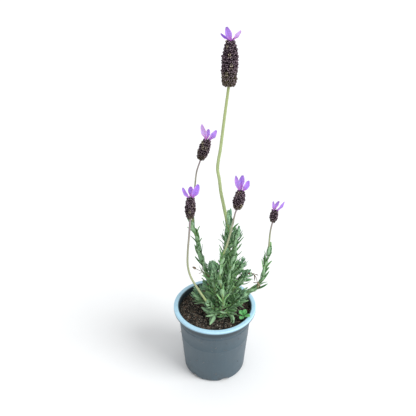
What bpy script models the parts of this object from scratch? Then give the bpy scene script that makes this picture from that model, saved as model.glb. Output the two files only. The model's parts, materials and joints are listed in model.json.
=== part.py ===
"""A Spanish lavender in a round nursery pot, with five flower heads on long bare stalks.

Metres, +Z up. The origin is the middle of the pot's underside and -Y is the front.
"""

import math
import random

import bmesh
import bpy
from mathutils import Matrix, Vector, geometry
from mathutils.bvhtree import BVHTree

MM = 0.001
GAP = 0.3 * MM  # between pieces that touch

# Pot
POT_HEIGHT = 98 * MM
LIP_RADIUS = 52.5 * MM
LIP_OVERHANG = 5.6 * MM  # from the wall's outer face to the lip's edge
LIP_DROP = 4.6 * MM
LIP_THICKNESS = 1.8 * MM
LIP_ROUND = 2.6 * MM  # where the inside of the wall turns out into the lip
LIP_EDGE_ROUND = 1.2 * MM
BASE_RADIUS = 39.5 * MM
WALL = 1.3 * MM
FLOOR = 1.6 * MM
CORNER_RADIUS = 4.2 * MM  # round the bottom edge
COLLAR_DEPTH = 9.5 * MM  # thicker band under the lip
COLLAR_STEP = 0.6 * MM
BEAD_DROP = 5.5 * MM  # from the collar down to the fine bead
BEAD = 0.45 * MM
DRAIN_HOLES = 6
DRAIN_WIDTH = 13 * MM
DRAIN_HEIGHT = 4.8 * MM
DRAIN_REACH = 6.5 * MM  # how far a drain hole cuts in from the wall
FIRST_DRAIN_ANGLE = math.radians(-71)
TURN_STEPS = 40

# Soil and crown
HEADSPACE = 7 * MM  # from the lip's top down to the soil
SOIL_DOME = 0.6 * MM
SOIL_ROUGHNESS = 0.4 * MM
CROWN_AT = Vector((8 * MM, -2 * MM))
CROWN_RADIUS = 9 * MM
CROWN_HEIGHT = 9 * MM
CROWN_DEPTH = 16 * MM  # rooted in the soil
CROWN_TAPER = 0.7
BARK_ROUGHNESS = 0.25 * MM
CROWN_STEPS = 20

# Shoots and leaves
STEM_BASE_SIDE = 2.2 * MM  # lavender stems are square
STEM_TIP_SIDE = 1.3 * MM
NODE_HEIGHT = 1.1 * MM  # stretch of stem that a pair of leaves grows from
PAIR_SPACING = 8 * MM
LEAF_WIDTH = 4.0 * MM
LEAF_THICKNESS = 0.7 * MM
LEAF_TIP = 0.7 * MM
LEAF_SPLAY = math.radians(42)
LEAF_CURL = math.radians(22)

# Flowers
STALK_FOOT_TAPER = 1.25  # a stalk is thicker at its foot
STALK_TIP_TAPER = 0.85
STALK_STEP = 9 * MM
BRACT_THICKNESS = 0.5 * MM
BRACT_BASE_WIDTH = 1.5 * MM
BRACT_RING_RADIUS = 1.9 * MM  # where the bracts stand on top of a spike
SCALE_HEIGHT = 0.05  # of a spike's width

# Seedling beside the rim
SEEDLING_ANGLE = math.radians(-30)
SEEDLING_FROM_WALL = 4.5 * MM
SEEDLING_HEIGHT = 7 * MM
SEEDLING_LEAF = 8 * MM
SEEDLING_LEAF_WIDTH = 4.5 * MM

SOIL_TOP = POT_HEIGHT - HEADSPACE
NECK_RADIUS = LIP_RADIUS - LIP_OVERHANG
CROWN_FOOT = Vector((CROWN_AT.x, CROWN_AT.y, SOIL_TOP))
SHOOT_START = GAP + BARK_ROUGHNESS + 0.3 * MM  # clear of the bark's bumps

# Leafy shoots: where each leaves the crown (degrees round it, degrees up), its leaf
# length, and points along it in mm from the middle of the crown at soil level.
SHOOTS = {
    "tall_shoot": (5, 62, 19, [(8, 2, 63), (10, 2, 100), (9, 2, 124)]),
    "left_back_shoot": (112, 58, 17, [(-15, 16, 35), (-26, 25, 67), (-30, 27, 90), (-35, 27, 112)]),
    "left_front_shoot": (212, 30, 15, [(-10, -13, 13), (-16, -18, 25)]),
    "front_shoot": (260, 32, 16, [
        (1, -13, 14), (2, -18, 27), (1, -18, 41), (-2, -18, 63), (-2, -18, 83),
        (2, -18, 103),
    ]),
    "right_shoot": (356, 30, 18, [
        (19, 2, 16), (30, 5, 23), (38, 7, 27), (44, 7, 31), (50, 7, 40), (53, 7, 56),
        (57, 7, 87),
    ]),
    "left_inner_shoot": (215, 58, 18, [(-7, -5, 30), (-10, -7, 52), (-11, -7, 72)]),
    "middle_shoot": (155, 58, 18, [(-5, 6, 30), (-6, 9, 60)]),
    "right_upper_shoot": (58, 58, 17, [(8, 7, 25), (15, 9, 50), (22, 10, 61), (26, 11, 67)]),
    "right_middle_shoot": (20, 32, 17, [(14, 4, 26), (24, 6, 42), (32, 6, 52)]),
    "right_lower_shoot": (332, 30, 17, [(14, -6, 14), (22, -9, 25), (28, -9, 33)]),
    "left_middle_shoot": (138, 30, 17, [(-12, 7, 15), (-20, 10, 30)]),
    "left_lower_shoot": (178, 28, 18, [(-16, 3, 8), (-26, 7, 13), (-31, 9, 18)]),
    "front_trailing_shoot": (284, 28, 17, [(8, -12, 7), (0, -16, 7), (-9, -16, 7.5), (-17, -12, 9)]),
    "drooping_shoot": (236, 26, 19, [(-6, -11, 5), (-10, -18, 4)]),
    "front_right_shoot": (308, 26, 16, [(9, -12, 5), (13, -19, 4)]),
    "back_left_shoot": (104, 30, 18, [(-5, 16, 20), (-11, 25, 38), (-13, 29, 48)]),
    "back_shoot": (74, 30, 18, [(3, 18, 24), (4, 27, 44), (6, 33, 58)]),
    "back_right_shoot": (46, 30, 18, [(12, 15, 20), (18, 23, 36), (21, 27, 47)]),
    "right_tall_shoot": (292, 60, 19, [(7, -5, 40), (12, -6, 80), (16, -5, 108), (18, -5, 122)]),
    "back_tall_shoot": (340, 84, 17, [(3, 6, 60), (5, 9, 95), (7, 9, 114)]),
}

# Bare flower stalks: the shoot each one tops, its radius in mm, and its points up to
# the spike.
STALKS = {
    "flower_stalk_1": ("tall_shoot", 1.1, [
        (5, 2, 139), (1, 2, 159), (-2, 2, 175), (-4, 2, 192), (-6, 2, 206), (-3, 2, 230),
        (1, 2, 268), (5, 2, 304),
    ]),
    "flower_stalk_2": ("left_back_shoot", 0.8, [
        (-35, 27, 142), (-32, 27, 169), (-30, 27, 187), (-25, 27, 204),
    ]),
    "flower_stalk_3": ("left_front_shoot", 0.9, [
        (-28, -18, 47), (-38, -18, 69), (-41, -18, 90), (-38, -18, 136), (-37, -18, 152),
    ]),
    "flower_stalk_4": ("front_shoot", 0.8, [
        (5, -18, 113), (10, -18, 136), (14, -18, 158), (16, -18, 165),
    ]),
    "flower_stalk_5": ("right_shoot", 0.8, [(58, 7, 116), (60, 7, 131)]),
}

# Spikes: lean to the right in degrees, length, widest diameter, columns, rows, where it is
# widest (0 at the stalk, 1 at the top), and how full it is at its foot and at its top.
SPIKES = {
    1: (1.5, 48, 18, 10, 10, 0.45, 0.8, 0.42),
    2: (17, 27, 14.5, 8, 6, 0.42, 0.55, 0.55),
    3: (2, 28, 13.5, 8, 7, 0.45, 0.5, 0.55),
    4: (10, 24.5, 15, 8, 6, 0.32, 0.45, 0.5),
    5: (8, 17, 11.3, 8, 5, 0.42, 0.5, 0.6),
}

# Bracts: where each stands round the top of its spike (degrees), its tip from there in
# mm, its width, and the way that its flat side faces (degrees, 270 to the front).
BRACTS = {
    1: [(280, -5, -2, 13, 6.5, 262), (170, -8.5, 1, 5, 4, 275), (20, 8, 1, 8, 5, 268)],
    2: [(225, -5.5, -1, 17.5, 6, 268), (340, 8, -1, 11, 6.5, 275), (90, 1, 4, 9, 5, 90)],
    3: [(200, -7, -1, 12, 5, 262), (340, 7, -1, 16, 7.5, 272), (90, 0, 4, 10, 6, 90)],
    4: [(200, -5, -2, 18, 5.5, 262), (340, 6, -1, 12, 6.5, 278), (90, 1, 3, 16, 6, 90)],
    5: [(200, -1.5, -1, 11, 3.5, 265), (340, 8, -1, 11, 3.6, 275), (90, 4, 2, 9, 4, 90)],
}

# Withered stalks: where each leaves the crown, and its points.
DEAD_STALKS = {
    "dead_stalk_left": (186, 58, [(-8, 2, 30), (-19, 4, 54), (-32, 8, 60)]),
    "dead_stalk_right": (34, 52, [(14, 9, 34), (27, 11, 47), (37, 6, 55), (43, 4, 50), (46, 3, 37)]),
}
DEAD_STALK_RADIUS = 0.5 * MM


def clear_scene():
    for obj in list(bpy.data.objects):
        bpy.data.objects.remove(obj)


def material(name, colour, roughness):
    made = bpy.data.materials.new(name)
    made.use_nodes = True
    shader = made.node_tree.nodes["Principled BSDF"]
    shader.inputs["Base Color"].default_value = (*colour, 1)
    shader.inputs["Roughness"].default_value = roughness
    return made


def new_collection(name):
    made = bpy.data.collections.new(name)
    bpy.context.scene.collection.children.link(made)
    return made


def add_object(name, data, finish, collection):
    obj = bpy.data.objects.new(name, data)
    if finish:
        data.materials.append(finish)
    collection.objects.link(obj)
    return obj


def mesh_from(bm, name, smooth=True):
    bmesh.ops.recalc_face_normals(bm, faces=bm.faces)
    mesh = bpy.data.meshes.new(name)
    bm.to_mesh(mesh)
    bm.free()
    if smooth:
        mesh.shade_smooth()
    return mesh


def evaluated_mesh(obj):
    """The object's mesh with its modifiers applied, as new data."""
    graph = bpy.context.evaluated_depsgraph_get()
    return bpy.data.meshes.new_from_object(obj.evaluated_get(graph))


def as_cutter(obj):
    obj.hide_render = True
    obj.display_type = "WIRE"
    return obj


def arc(middle_radius, middle_height, radius, start, end, steps):
    """Profile points on a circle, from one angle to another in degrees."""
    angles = [math.radians(start + (end - start) * i / steps) for i in range(steps + 1)]
    return [
        (middle_radius + radius * math.cos(angle), middle_height + radius * math.sin(angle))
        for angle in angles
    ]


def turned(name, profile, steps, finish, collection):
    """A solid turned about Z, from a profile that runs down its outer side."""
    bm = bmesh.new()
    points = [bm.verts.new((radius, 0, height)) for radius, height in profile]
    for first, second in zip(points, points[1:]):
        bm.edges.new((first, second))
    mesh = bpy.data.meshes.new(name)
    bm.to_mesh(mesh)
    bm.free()
    obj = add_object(name, mesh, finish, collection)
    screw = obj.modifiers.new("turn", "SCREW")
    screw.steps = steps
    screw.render_steps = steps
    screw.use_merge_vertices = True
    screw.merge_threshold = 0.00001
    screw.use_smooth_shade = True
    return obj


def wall_radius(height):
    """The outer radius of the pot's plain tapered wall."""
    share = height / (POT_HEIGHT - LIP_DROP)
    return BASE_RADIUS + (NECK_RADIUS - BASE_RADIUS) * share


def inner_radius(height):
    return wall_radius(height) - WALL


def wall_line(top, bottom, offset):
    """Profile points down the wall, this far outside it."""
    return [(wall_radius(height) + offset, height) for height in (top, bottom)]


def pot_profile():
    lip_bottom = POT_HEIGHT - LIP_DROP
    collar_bottom = lip_bottom - COLLAR_DEPTH
    bead = collar_bottom - BEAD_DROP
    lip_inside = inner_radius(POT_HEIGHT - LIP_ROUND)
    corner_inside = CORNER_RADIUS - WALL
    foot_inside = inner_radius(CORNER_RADIUS) - corner_inside
    return (
        [(0, FLOOR)]
        + arc(foot_inside, FLOOR + corner_inside, corner_inside, -90, 0, 2)
        + arc(lip_inside + LIP_ROUND, POT_HEIGHT - LIP_ROUND, LIP_ROUND, 180, 90, 3)
        + arc(LIP_RADIUS - LIP_EDGE_ROUND, POT_HEIGHT - LIP_EDGE_ROUND, LIP_EDGE_ROUND, 90, 0, 2)
        + [(LIP_RADIUS, lip_bottom), (LIP_RADIUS - WALL, lip_bottom)]
        + [(LIP_RADIUS - WALL, POT_HEIGHT - LIP_THICKNESS)]
        + wall_line(POT_HEIGHT - LIP_THICKNESS, collar_bottom, COLLAR_STEP)
        + wall_line(collar_bottom - COLLAR_STEP, bead + 2 * BEAD, 0)
        + [(wall_radius(bead) + BEAD, bead)]
        + [(wall_radius(bead - 2 * BEAD), bead - 2 * BEAD)]
        + arc(wall_radius(CORNER_RADIUS) - CORNER_RADIUS, CORNER_RADIUS, CORNER_RADIUS, 0, -90, 3)
        + [(0, 0)]
    )


def drain_cutter(index, collection):
    """A lying elliptical cylinder that arches through the pot's bottom corner."""
    bm = bmesh.new()
    length = 2 * DRAIN_REACH
    bmesh.ops.create_cone(
        bm, cap_ends=True, segments=14, radius1=DRAIN_WIDTH / 2, radius2=DRAIN_WIDTH / 2, depth=length
    )
    angle = FIRST_DRAIN_ANGLE + index * math.tau / DRAIN_HOLES
    flatten = Matrix.Diagonal((2 * DRAIN_HEIGHT / DRAIN_WIDTH, 1, 1, 1))
    lay = Matrix.Rotation(math.radians(90), 4, "Y")
    place = Matrix.Rotation(angle, 4, "Z") @ Matrix.Translation((BASE_RADIUS, 0, 0))
    bmesh.ops.transform(bm, matrix=place @ lay @ flatten, verts=bm.verts)
    name = f"drain_cutter_{index + 1}"
    return as_cutter(add_object(name, mesh_from(bm, name, False), None, collection))


def cut(obj, cutter):
    boolean = obj.modifiers.new(cutter.name, "BOOLEAN")
    boolean.operation = "DIFFERENCE"
    boolean.solver = "EXACT"
    boolean.object = cutter


def make_pot(finish, parts, cutters):
    pot = turned("pot", pot_profile(), TURN_STEPS, finish, parts)
    for index in range(DRAIN_HOLES):
        cut(pot, drain_cutter(index, cutters))
    return pot


def crown_profile(clearance):
    """The rooted crown from its domed top to its tapered foot, grown by a clearance."""
    radius = CROWN_RADIUS + clearance
    foot = SOIL_TOP - CROWN_DEPTH - clearance
    dome = [
        (radius * math.sin(angle), SOIL_TOP + (CROWN_HEIGHT + clearance) * math.cos(angle))
        for angle in (math.radians(18 * i) for i in range(6))
    ]
    return [(0, dome[0][1])] + dome[1:] + [(CROWN_TAPER * radius, foot), (0, foot)]


def roughen(mesh, amount, seed, top_of):
    """Moves the points that a test picks up or down by a seeded amount."""
    random_source = random.Random(seed)
    for point in mesh.vertices:
        shift = amount * random_source.uniform(-1, 1)
        if top_of(point.co):
            point.co.z += shift


def make_soil(finish, parts, cutters):
    edge_drop = 1 * MM
    top_radius = inner_radius(SOIL_TOP) - GAP
    bottom = FLOOR + GAP
    corner_inside = CORNER_RADIUS - WALL + GAP
    surface = [
        (share * top_radius, SOIL_TOP + SOIL_DOME * (1 - share**2) - edge_drop * share**4)
        for share in (0, 0.3, 0.52, 0.72, 0.88, 1)
    ]
    foot = inner_radius(bottom + corner_inside) - GAP
    profile = surface + [(foot, bottom + corner_inside), (foot - corner_inside, bottom), (0, bottom)]
    turned_soil = turned("soil_turning", profile, TURN_STEPS, None, cutters)
    mesh = evaluated_mesh(turned_soil)
    bpy.data.objects.remove(turned_soil)
    rim = top_radius - 1 * MM
    roughen(
        mesh, SOIL_ROUGHNESS, 3, lambda co: co.z > SOIL_TOP - edge_drop and co.xy.length < rim
    )
    mesh.name = "soil"
    mesh.materials.clear()
    soil = add_object("soil", mesh, finish, parts)
    socket = turned("crown_socket", crown_profile(GAP), CROWN_STEPS, None, cutters)
    socket.location = (CROWN_AT.x, CROWN_AT.y, 0)
    cut(soil, as_cutter(socket))
    return soil


def make_crown(finish, parts, cutters):
    turning = turned("crown_turning", crown_profile(0), CROWN_STEPS, None, cutters)
    mesh = evaluated_mesh(turning)
    bpy.data.objects.remove(turning)
    roughen(mesh, BARK_ROUGHNESS, 5, lambda co: co.z > SOIL_TOP + 1 * MM)
    mesh.name = "woody_crown"
    mesh.materials.clear()
    crown = add_object("woody_crown", mesh, finish, parts)
    crown.location = (CROWN_AT.x, CROWN_AT.y, 0)
    return crown


def from_crown(point):
    """A place given in mm from the middle of the crown at soil level."""
    return CROWN_FOOT + Vector(point) * MM


def smooth_path(points, step):
    """Points about a step apart on a smooth curve through the given ones."""
    ends = [2 * points[0] - points[1], *points, 2 * points[-1] - points[-2]]
    path = []
    for before, start, end, after in zip(ends, ends[1:], ends[2:], ends[3:]):
        steps = max(2, round((end - start).length / step) + 1)
        reach = (end - start).length / 3
        handle_out = start + (end - before).normalized() * reach
        handle_in = end - (after - start).normalized() * reach
        path += geometry.interpolate_bezier(start, handle_out, handle_in, end, steps)[:-1]
    return path + [points[-1]]


def spaced(path, distances):
    """The places at these distances along a path, with the direction at each."""
    found = []
    run = 0
    index = 0
    for distance in distances:
        while index < len(path) - 2 and run + (path[index + 1] - path[index]).length < distance:
            run += (path[index + 1] - path[index]).length
            index += 1
        along = (path[index + 1] - path[index]).normalized()
        found.append((path[index] + along * (distance - run), along))
    return found


def path_length(path):
    return sum((second - first).length for first, second in zip(path, path[1:]))


def crown_point(round_angle, up_angle):
    """A place just clear of the crown's bark, and the way out from it."""
    side, height = math.cos(math.radians(up_angle)), math.sin(math.radians(up_angle))
    across = Vector((math.cos(math.radians(round_angle)), math.sin(math.radians(round_angle)), 0))
    place = CROWN_FOOT + across * side * CROWN_RADIUS + Vector((0, 0, height * CROWN_HEIGHT))
    outward = (across * side / CROWN_RADIUS + Vector((0, 0, height / CROWN_HEIGHT))).normalized()
    return place + outward * SHOOT_START, outward


class Section:
    """A rectangular cross-section: its middle, its two directions and its two sizes."""

    def __init__(self, middle, side, up, width, thickness):
        self.middle = middle
        self.side = side
        self.up = up
        self.width = width
        self.thickness = thickness

    def corner(self, right, above):
        return self.middle + self.side * right * self.width / 2 + self.up * above * self.thickness / 2

    def grown(self, clearance):
        width, thickness = self.width + 2 * clearance, self.thickness + 2 * clearance
        return Section(self.middle, self.side, self.up, width, thickness)

    def moved(self, way):
        return Section(self.middle + way, self.side, self.up, self.width, self.thickness)


def move_face(face, old, new):
    """Moves a face's four corners from one section's corners to another's."""
    for vert in face.verts:
        from_middle = vert.co - old.middle
        right = 1 if from_middle.dot(old.side) > 0 else -1
        above = 1 if from_middle.dot(old.up) > 0 else -1
        vert.co = new.corner(right, above)


def draw_out(bm, face, sections):
    """Extends a face through the sections after the first, which is the face itself."""
    sides = []
    for old, new in zip(sections, sections[1:]):
        face = bmesh.ops.extrude_discrete_faces(bm, faces=[face])["faces"][0]
        sides.append([next(f for f in edge.link_faces if f != face) for edge in face.edges])
        move_face(face, old, new)
    return face, sides


def face_towards(faces, middle, outward):
    """The one of a bar's side faces that lies this way out from its middle."""
    left = [face for face in faces if face.is_valid]
    return max(left, key=lambda face: (face.calc_center_median() - middle).dot(outward))


def start_bar(bm, first, second):
    """A cube made into the first stretch of a bar; it gives back the far face."""
    made = bmesh.ops.create_cube(bm, size=1)["verts"]
    for vert in made:
        section = first if vert.co.z < 0 else second
        vert.co = section.corner(1 if vert.co.x > 0 else -1, 1 if vert.co.y > 0 else -1)
    far = max(bm.faces, key=lambda face: -(face.calc_center_median() - second.middle).length)
    return far


def stem_sections(path):
    """Stem sections in pairs, one below and one above each place that carries leaves."""
    length = path_length(path)
    pairs = max(2, round(length / PAIR_SPACING))
    first = 0.45 * PAIR_SPACING
    last = length - NODE_HEIGHT - 1 * MM
    nodes = [first + (last - first) * i / (pairs - 1) for i in range(pairs)]
    distances = [0.0]
    for node in nodes:
        distances += [node, node + NODE_HEIGHT]
    distances.append(length)
    side = None
    sections = []
    for (middle, along), distance in zip(spaced(path, distances), distances):
        side = side or along.orthogonal().normalized()
        side = (side - along * side.dot(along)).normalized()
        width = STEM_BASE_SIDE + (STEM_TIP_SIDE - STEM_BASE_SIDE) * distance / length
        sections.append(Section(middle, side, along.cross(side), width, width))
    return sections


def leaf_foot(face, along, outward, width, height):
    """The section where a leaf starts: one side face of its stem."""
    side = along.cross(outward).normalized()
    return Section(face.calc_center_median(), side, along, width, height)


def leaf_sections(foot, outward, length, width, splay, curl):
    """Four sections of a leaf: its foot on the stem, two full ones and its tip."""
    along = foot.up
    sections = [foot]
    middle = foot.middle
    angle = splay
    for share, breadth, thickness in (
        (0.28, width, LEAF_THICKNESS),
        (0.42, 0.95 * width, 0.9 * LEAF_THICKNESS),
        (0.30, LEAF_TIP, 0.7 * LEAF_THICKNESS),
    ):
        heading = along * math.cos(angle) + outward * math.sin(angle)
        middle = middle + heading * share * length
        up = (along * math.sin(angle) - outward * math.cos(angle)).normalized()
        sections.append(Section(middle, foot.side, up, breadth, thickness))
        angle += curl / 2
    return sections


def bar_tree(sections):
    """A search tree of the four-sided bar through these sections."""
    signs = ((-1, -1), (1, -1), (1, 1), (-1, 1))
    corners = [section.corner(*sign) for section in sections for sign in signs]
    faces = [(3, 2, 1, 0)]
    for ring in range(len(sections) - 1):
        for i in range(4):
            a, b = 4 * ring + i, 4 * ring + (i + 1) % 4
            faces.append((a, b, b + 4, a + 4))
    last = 4 * (len(sections) - 1)
    faces.append((last, last + 1, last + 2, last + 3))
    return Obstacle(BVHTree.FromPolygons(corners, faces), corners)


class Obstacle:
    """What a leaf must keep clear of: a search tree and the box around it."""

    def __init__(self, tree, corners):
        self.tree = tree
        self.low = Vector(min(c[i] for c in corners) for i in range(3))
        self.high = Vector(max(c[i] for c in corners) for i in range(3))

    def near(self, other):
        return all(self.low[i] <= other.high[i] and other.low[i] <= self.high[i] for i in range(3))

    def hits(self, other):
        return self.near(other) and bool(self.tree.overlap(other.tree))


def obstacle_from(obj):
    graph = bpy.context.evaluated_depsgraph_get()
    mesh = obj.evaluated_get(graph).to_mesh()
    corners = [obj.matrix_world @ point.co for point in mesh.vertices]
    faces = [tuple(polygon.vertices) for polygon in mesh.polygons]
    return Obstacle(BVHTree.FromPolygons(corners, faces), corners)


def grown_bar(sections):
    """The search tree of a bar with the gap all round it."""
    return bar_tree([section.grown(GAP) for section in sections])


def rest_of_stem(sections, pair):
    """The stem below a pair of leaves and the stem above it, each just short of them."""
    lower, upper = sections[2 * pair + 1], sections[2 * pair + 2]
    short = (upper.middle - lower.middle).normalized() * 0.1 * MM
    below = [*sections[: 2 * pair + 1], lower.moved(-short)]
    above = [upper.moved(short), *sections[2 * pair + 3 :]]
    return [bar_tree(below), bar_tree(above)]


def fitting_leaf(foot, outward, length, width, splay, curl, own_stem, obstacles):
    """The longest leaf at this place that stays clear of everything, or None. Past its
    first stretch, which grows from its own stem, it keeps the gap from that stem too."""
    for share in (1.0, 0.82, 0.66, 0.5):
        for swing in (0, -0.25, 0.25, -0.5, 0.5):
            sections = leaf_sections(foot, outward, share * length, width, splay + swing, curl)
            leaf, blade = bar_tree(sections), grown_bar(sections[1:])
            if any(leaf.hits(stem) or blade.hits(stem) for stem in own_stem):
                continue
            body = grown_bar(sections)
            if not any(body.hits(other) for other in obstacles):
                return sections, body
    return None


def leaves_on_stem(bm, sections, rings, leaf_length, seed, obstacles):
    """Draws pairs of leaves out of a stem's faces, each pair turned from the last."""
    random_source = random.Random(seed)
    pairs = (len(sections) - 2) // 2
    bodies = []
    for pair in range(pairs):
        lower, upper = sections[2 * pair + 1], sections[2 * pair + 2]
        along = (upper.middle - lower.middle).normalized()
        age = pair / max(1, pairs - 1)
        own_stem = rest_of_stem(sections, pair)
        for way in (1, -1):
            outward = (lower.side if pair % 2 else lower.up) * way
            outward = (outward - along * outward.dot(along)).normalized()
            length = leaf_length * MM * (1.05 - 0.3 * age) * random_source.uniform(0.88, 1.08)
            splay = LEAF_SPLAY * (1.15 - 0.6 * age) * random_source.uniform(0.85, 1.15)
            curl = LEAF_CURL * random_source.uniform(-0.6, 1.3) * (1 - 0.7 * age)
            face = face_towards(rings[2 * pair + 1], lower.middle, outward)
            foot = leaf_foot(face, along, outward, lower.width, NODE_HEIGHT)
            width = LEAF_WIDTH * random_source.uniform(0.85, 1.05)
            in_the_way = obstacles + bodies
            found = fitting_leaf(foot, outward, length, width, splay, curl, own_stem, in_the_way)
            if found:
                leaf, body = found
                draw_out(bm, face, leaf)
                bodies.append(body)
    return bodies


def make_shoots(finish, parts, obstacles):
    """Leafy shoots, each one piece with its leaves. The stems come first, so that
    every leaf keeps clear of every stem."""
    stems = {}
    for name, (round_angle, up_angle, leaf_length, points) in SHOOTS.items():
        start, outward = crown_point(round_angle, up_angle)
        route = [start, start + outward * 3 * MM] + [from_crown(point) for point in points]
        path = smooth_path(route, 1 * MM)
        sections = stem_sections(path)
        bm = bmesh.new()
        far = start_bar(bm, sections[0], sections[1])
        _, rings = draw_out(bm, far, sections[1:])
        stems[name] = (bm, sections, [None] + rings, leaf_length)
        obstacles[name] = [grown_bar(sections)]
    ends = {}
    for seed, (name, (bm, sections, rings, leaf_length)) in enumerate(stems.items()):
        others = [body for owner in obstacles if owner != name for body in obstacles[owner]]
        obstacles[name] += leaves_on_stem(bm, sections, rings, leaf_length, seed, others)
        add_object(name, mesh_from(bm, name), finish, parts)
        ends[name] = sections[-1]
    return ends


def tube(name, path, radius, taper, finish, collection):
    """A square stalk as a bevelled curve with closed ends, tapered from foot to tip."""
    curve = bpy.data.curves.new(name, "CURVE")
    curve.dimensions = "3D"
    curve.bevel_depth = radius
    curve.bevel_resolution = 0
    curve.use_fill_caps = True
    spline = curve.splines.new("POLY")
    spline.points.add(len(path) - 1)
    for index, place in enumerate(path):
        spline.points[index].co = (*place, 1)
        share = index / (len(path) - 1)
        spline.points[index].radius = taper[0] + (taper[1] - taper[0]) * share
    return add_object(name, curve, finish, collection)


def stalk_path(shoot_end, points):
    """From just above a shoot's tip through the stalk's own points."""
    heading = shoot_end.side.cross(shoot_end.up).normalized()
    start = shoot_end.middle + heading * GAP
    route = [start, start + heading * 2 * MM] + [from_crown(point) for point in points]
    return smooth_path(route, STALK_STEP)


def spike_frame(number):
    """Where a spike stands, and the way it leans."""
    *_, points = STALKS[f"flower_stalk_{number}"]
    lean = math.radians(SPIKES[number][0])
    up = Vector((math.sin(lean), 0, math.cos(lean)))
    return from_crown(points[-1]) + up * GAP, up


def spike_radius(share, widest, belly, foot, top):
    """A barrel: the radius at a share of the spike's height."""
    span, fullness = (belly, foot) if share < belly else (1 - belly, top)
    reach = (share - belly) / span
    return widest * math.sqrt(1 - (1 - fullness**2) * reach**2)


def make_spike(number, finish, parts):
    """A barrel of overlapping scales, raised by poking each face outwards."""
    _, length, width, columns, rows, belly, foot_fullness, top_fullness = SPIKES[number]
    name = f"flower_spike_{number}"
    scale_height = SCALE_HEIGHT * width * MM
    bm = bmesh.new()
    bmesh.ops.create_cone(
        bm, cap_ends=True, cap_tris=False, segments=columns, radius1=1, radius2=1, depth=1
    )
    barrel = [edge for edge in bm.edges if abs(edge.verts[0].co.z - edge.verts[1].co.z) > 0.5]
    bmesh.ops.subdivide_edges(bm, edges=barrel, cuts=rows - 1, use_grid_fill=True)
    for vert in bm.verts:
        share = vert.co.z + 0.5
        widest = width / 2 * MM - scale_height
        radius = spike_radius(share, widest, belly, foot_fullness, top_fullness)
        ring = round(share * rows)
        twist = (ring % 2) * math.pi / columns
        angle = math.atan2(vert.co.y, vert.co.x) + twist
        vert.co = (radius * math.cos(angle), radius * math.sin(angle), share * length * MM)
    scales = [face for face in bm.faces if len(face.verts) == 4]
    bmesh.ops.poke(bm, faces=scales, offset=scale_height)
    spike = add_object(name, mesh_from(bm, name), finish, parts)
    foot, up = spike_frame(number)
    spike.location = foot
    spike.rotation_euler = up.to_track_quat("Z", "Y").to_euler()
    return spike


def make_bract(number, index, row, finish, parts):
    """A thin petal from the top of a spike to its tip, bowed and folded along the middle."""
    stand, tip_x, tip_y, tip_z, width, facing = row
    _, length, spike_width, *_ = SPIKES[number]
    foot, up = spike_frame(number)
    top = foot + up * ((length + SCALE_HEIGHT * spike_width) * MM + GAP)
    outward = Vector((math.cos(math.radians(stand)), math.sin(math.radians(stand)), 0))
    outward = (outward - up * outward.dot(up)).normalized()
    start = top + outward * BRACT_RING_RADIUS
    tip = start + Vector((tip_x, tip_y, tip_z)) * MM
    along = (tip - start).normalized()
    look = Vector((math.cos(math.radians(facing)), math.sin(math.radians(facing)), 0))
    look = (look - along * look.dot(along)).normalized()
    across = along.cross(look)
    reach = (tip - start).length
    bm = bmesh.new()
    bmesh.ops.create_grid(bm, x_segments=2, y_segments=4, size=0.5)
    for vert in bm.verts:
        share = vert.co.y + 0.5
        swell = math.sin(math.pi * min(1.0, share * 1.05 + 0.02) ** 0.85) ** 0.8
        breadth = BRACT_BASE_WIDTH * (1 - share) + width * MM * swell + 0.4 * MM * share
        bow = math.sin(math.pi * share) * 0.1 * reach
        fold = abs(vert.co.x) * 0.25 * breadth
        vert.co = (
            start + along * share * reach + across * vert.co.x * breadth + look * (bow - fold)
        )
    name = f"bract_{number}{'abc'[index]}"
    bract = add_object(name, mesh_from(bm, name), finish, parts)
    solidify = bract.modifiers.new("thickness", "SOLIDIFY")
    solidify.thickness = BRACT_THICKNESS
    solidify.offset = 0
    return bract


def make_flowers(ends, finishes, parts):
    made = []
    for name, (shoot, radius, points) in STALKS.items():
        path = stalk_path(ends[shoot], points)
        taper = (STALK_FOOT_TAPER, STALK_TIP_TAPER)
        made.append(tube(name, path, radius * MM, taper, finishes["stalk"], parts))
    for number in SPIKES:
        made.append(make_spike(number, finishes["spike"], parts))
        for index, row in enumerate(BRACTS[number]):
            made.append(make_bract(number, index, row, finishes["bract"], parts))
    return made


def make_dead_stalks(finish, parts):
    made = []
    for name, (round_angle, up_angle, points) in DEAD_STALKS.items():
        start, outward = crown_point(round_angle, up_angle)
        route = [start, start + outward * 3 * MM] + [from_crown(point) for point in points]
        path = smooth_path(route, 6 * MM)
        made.append(tube(name, path, DEAD_STALK_RADIUS, (1.3, 0.7), finish, parts))
    return made


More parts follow.
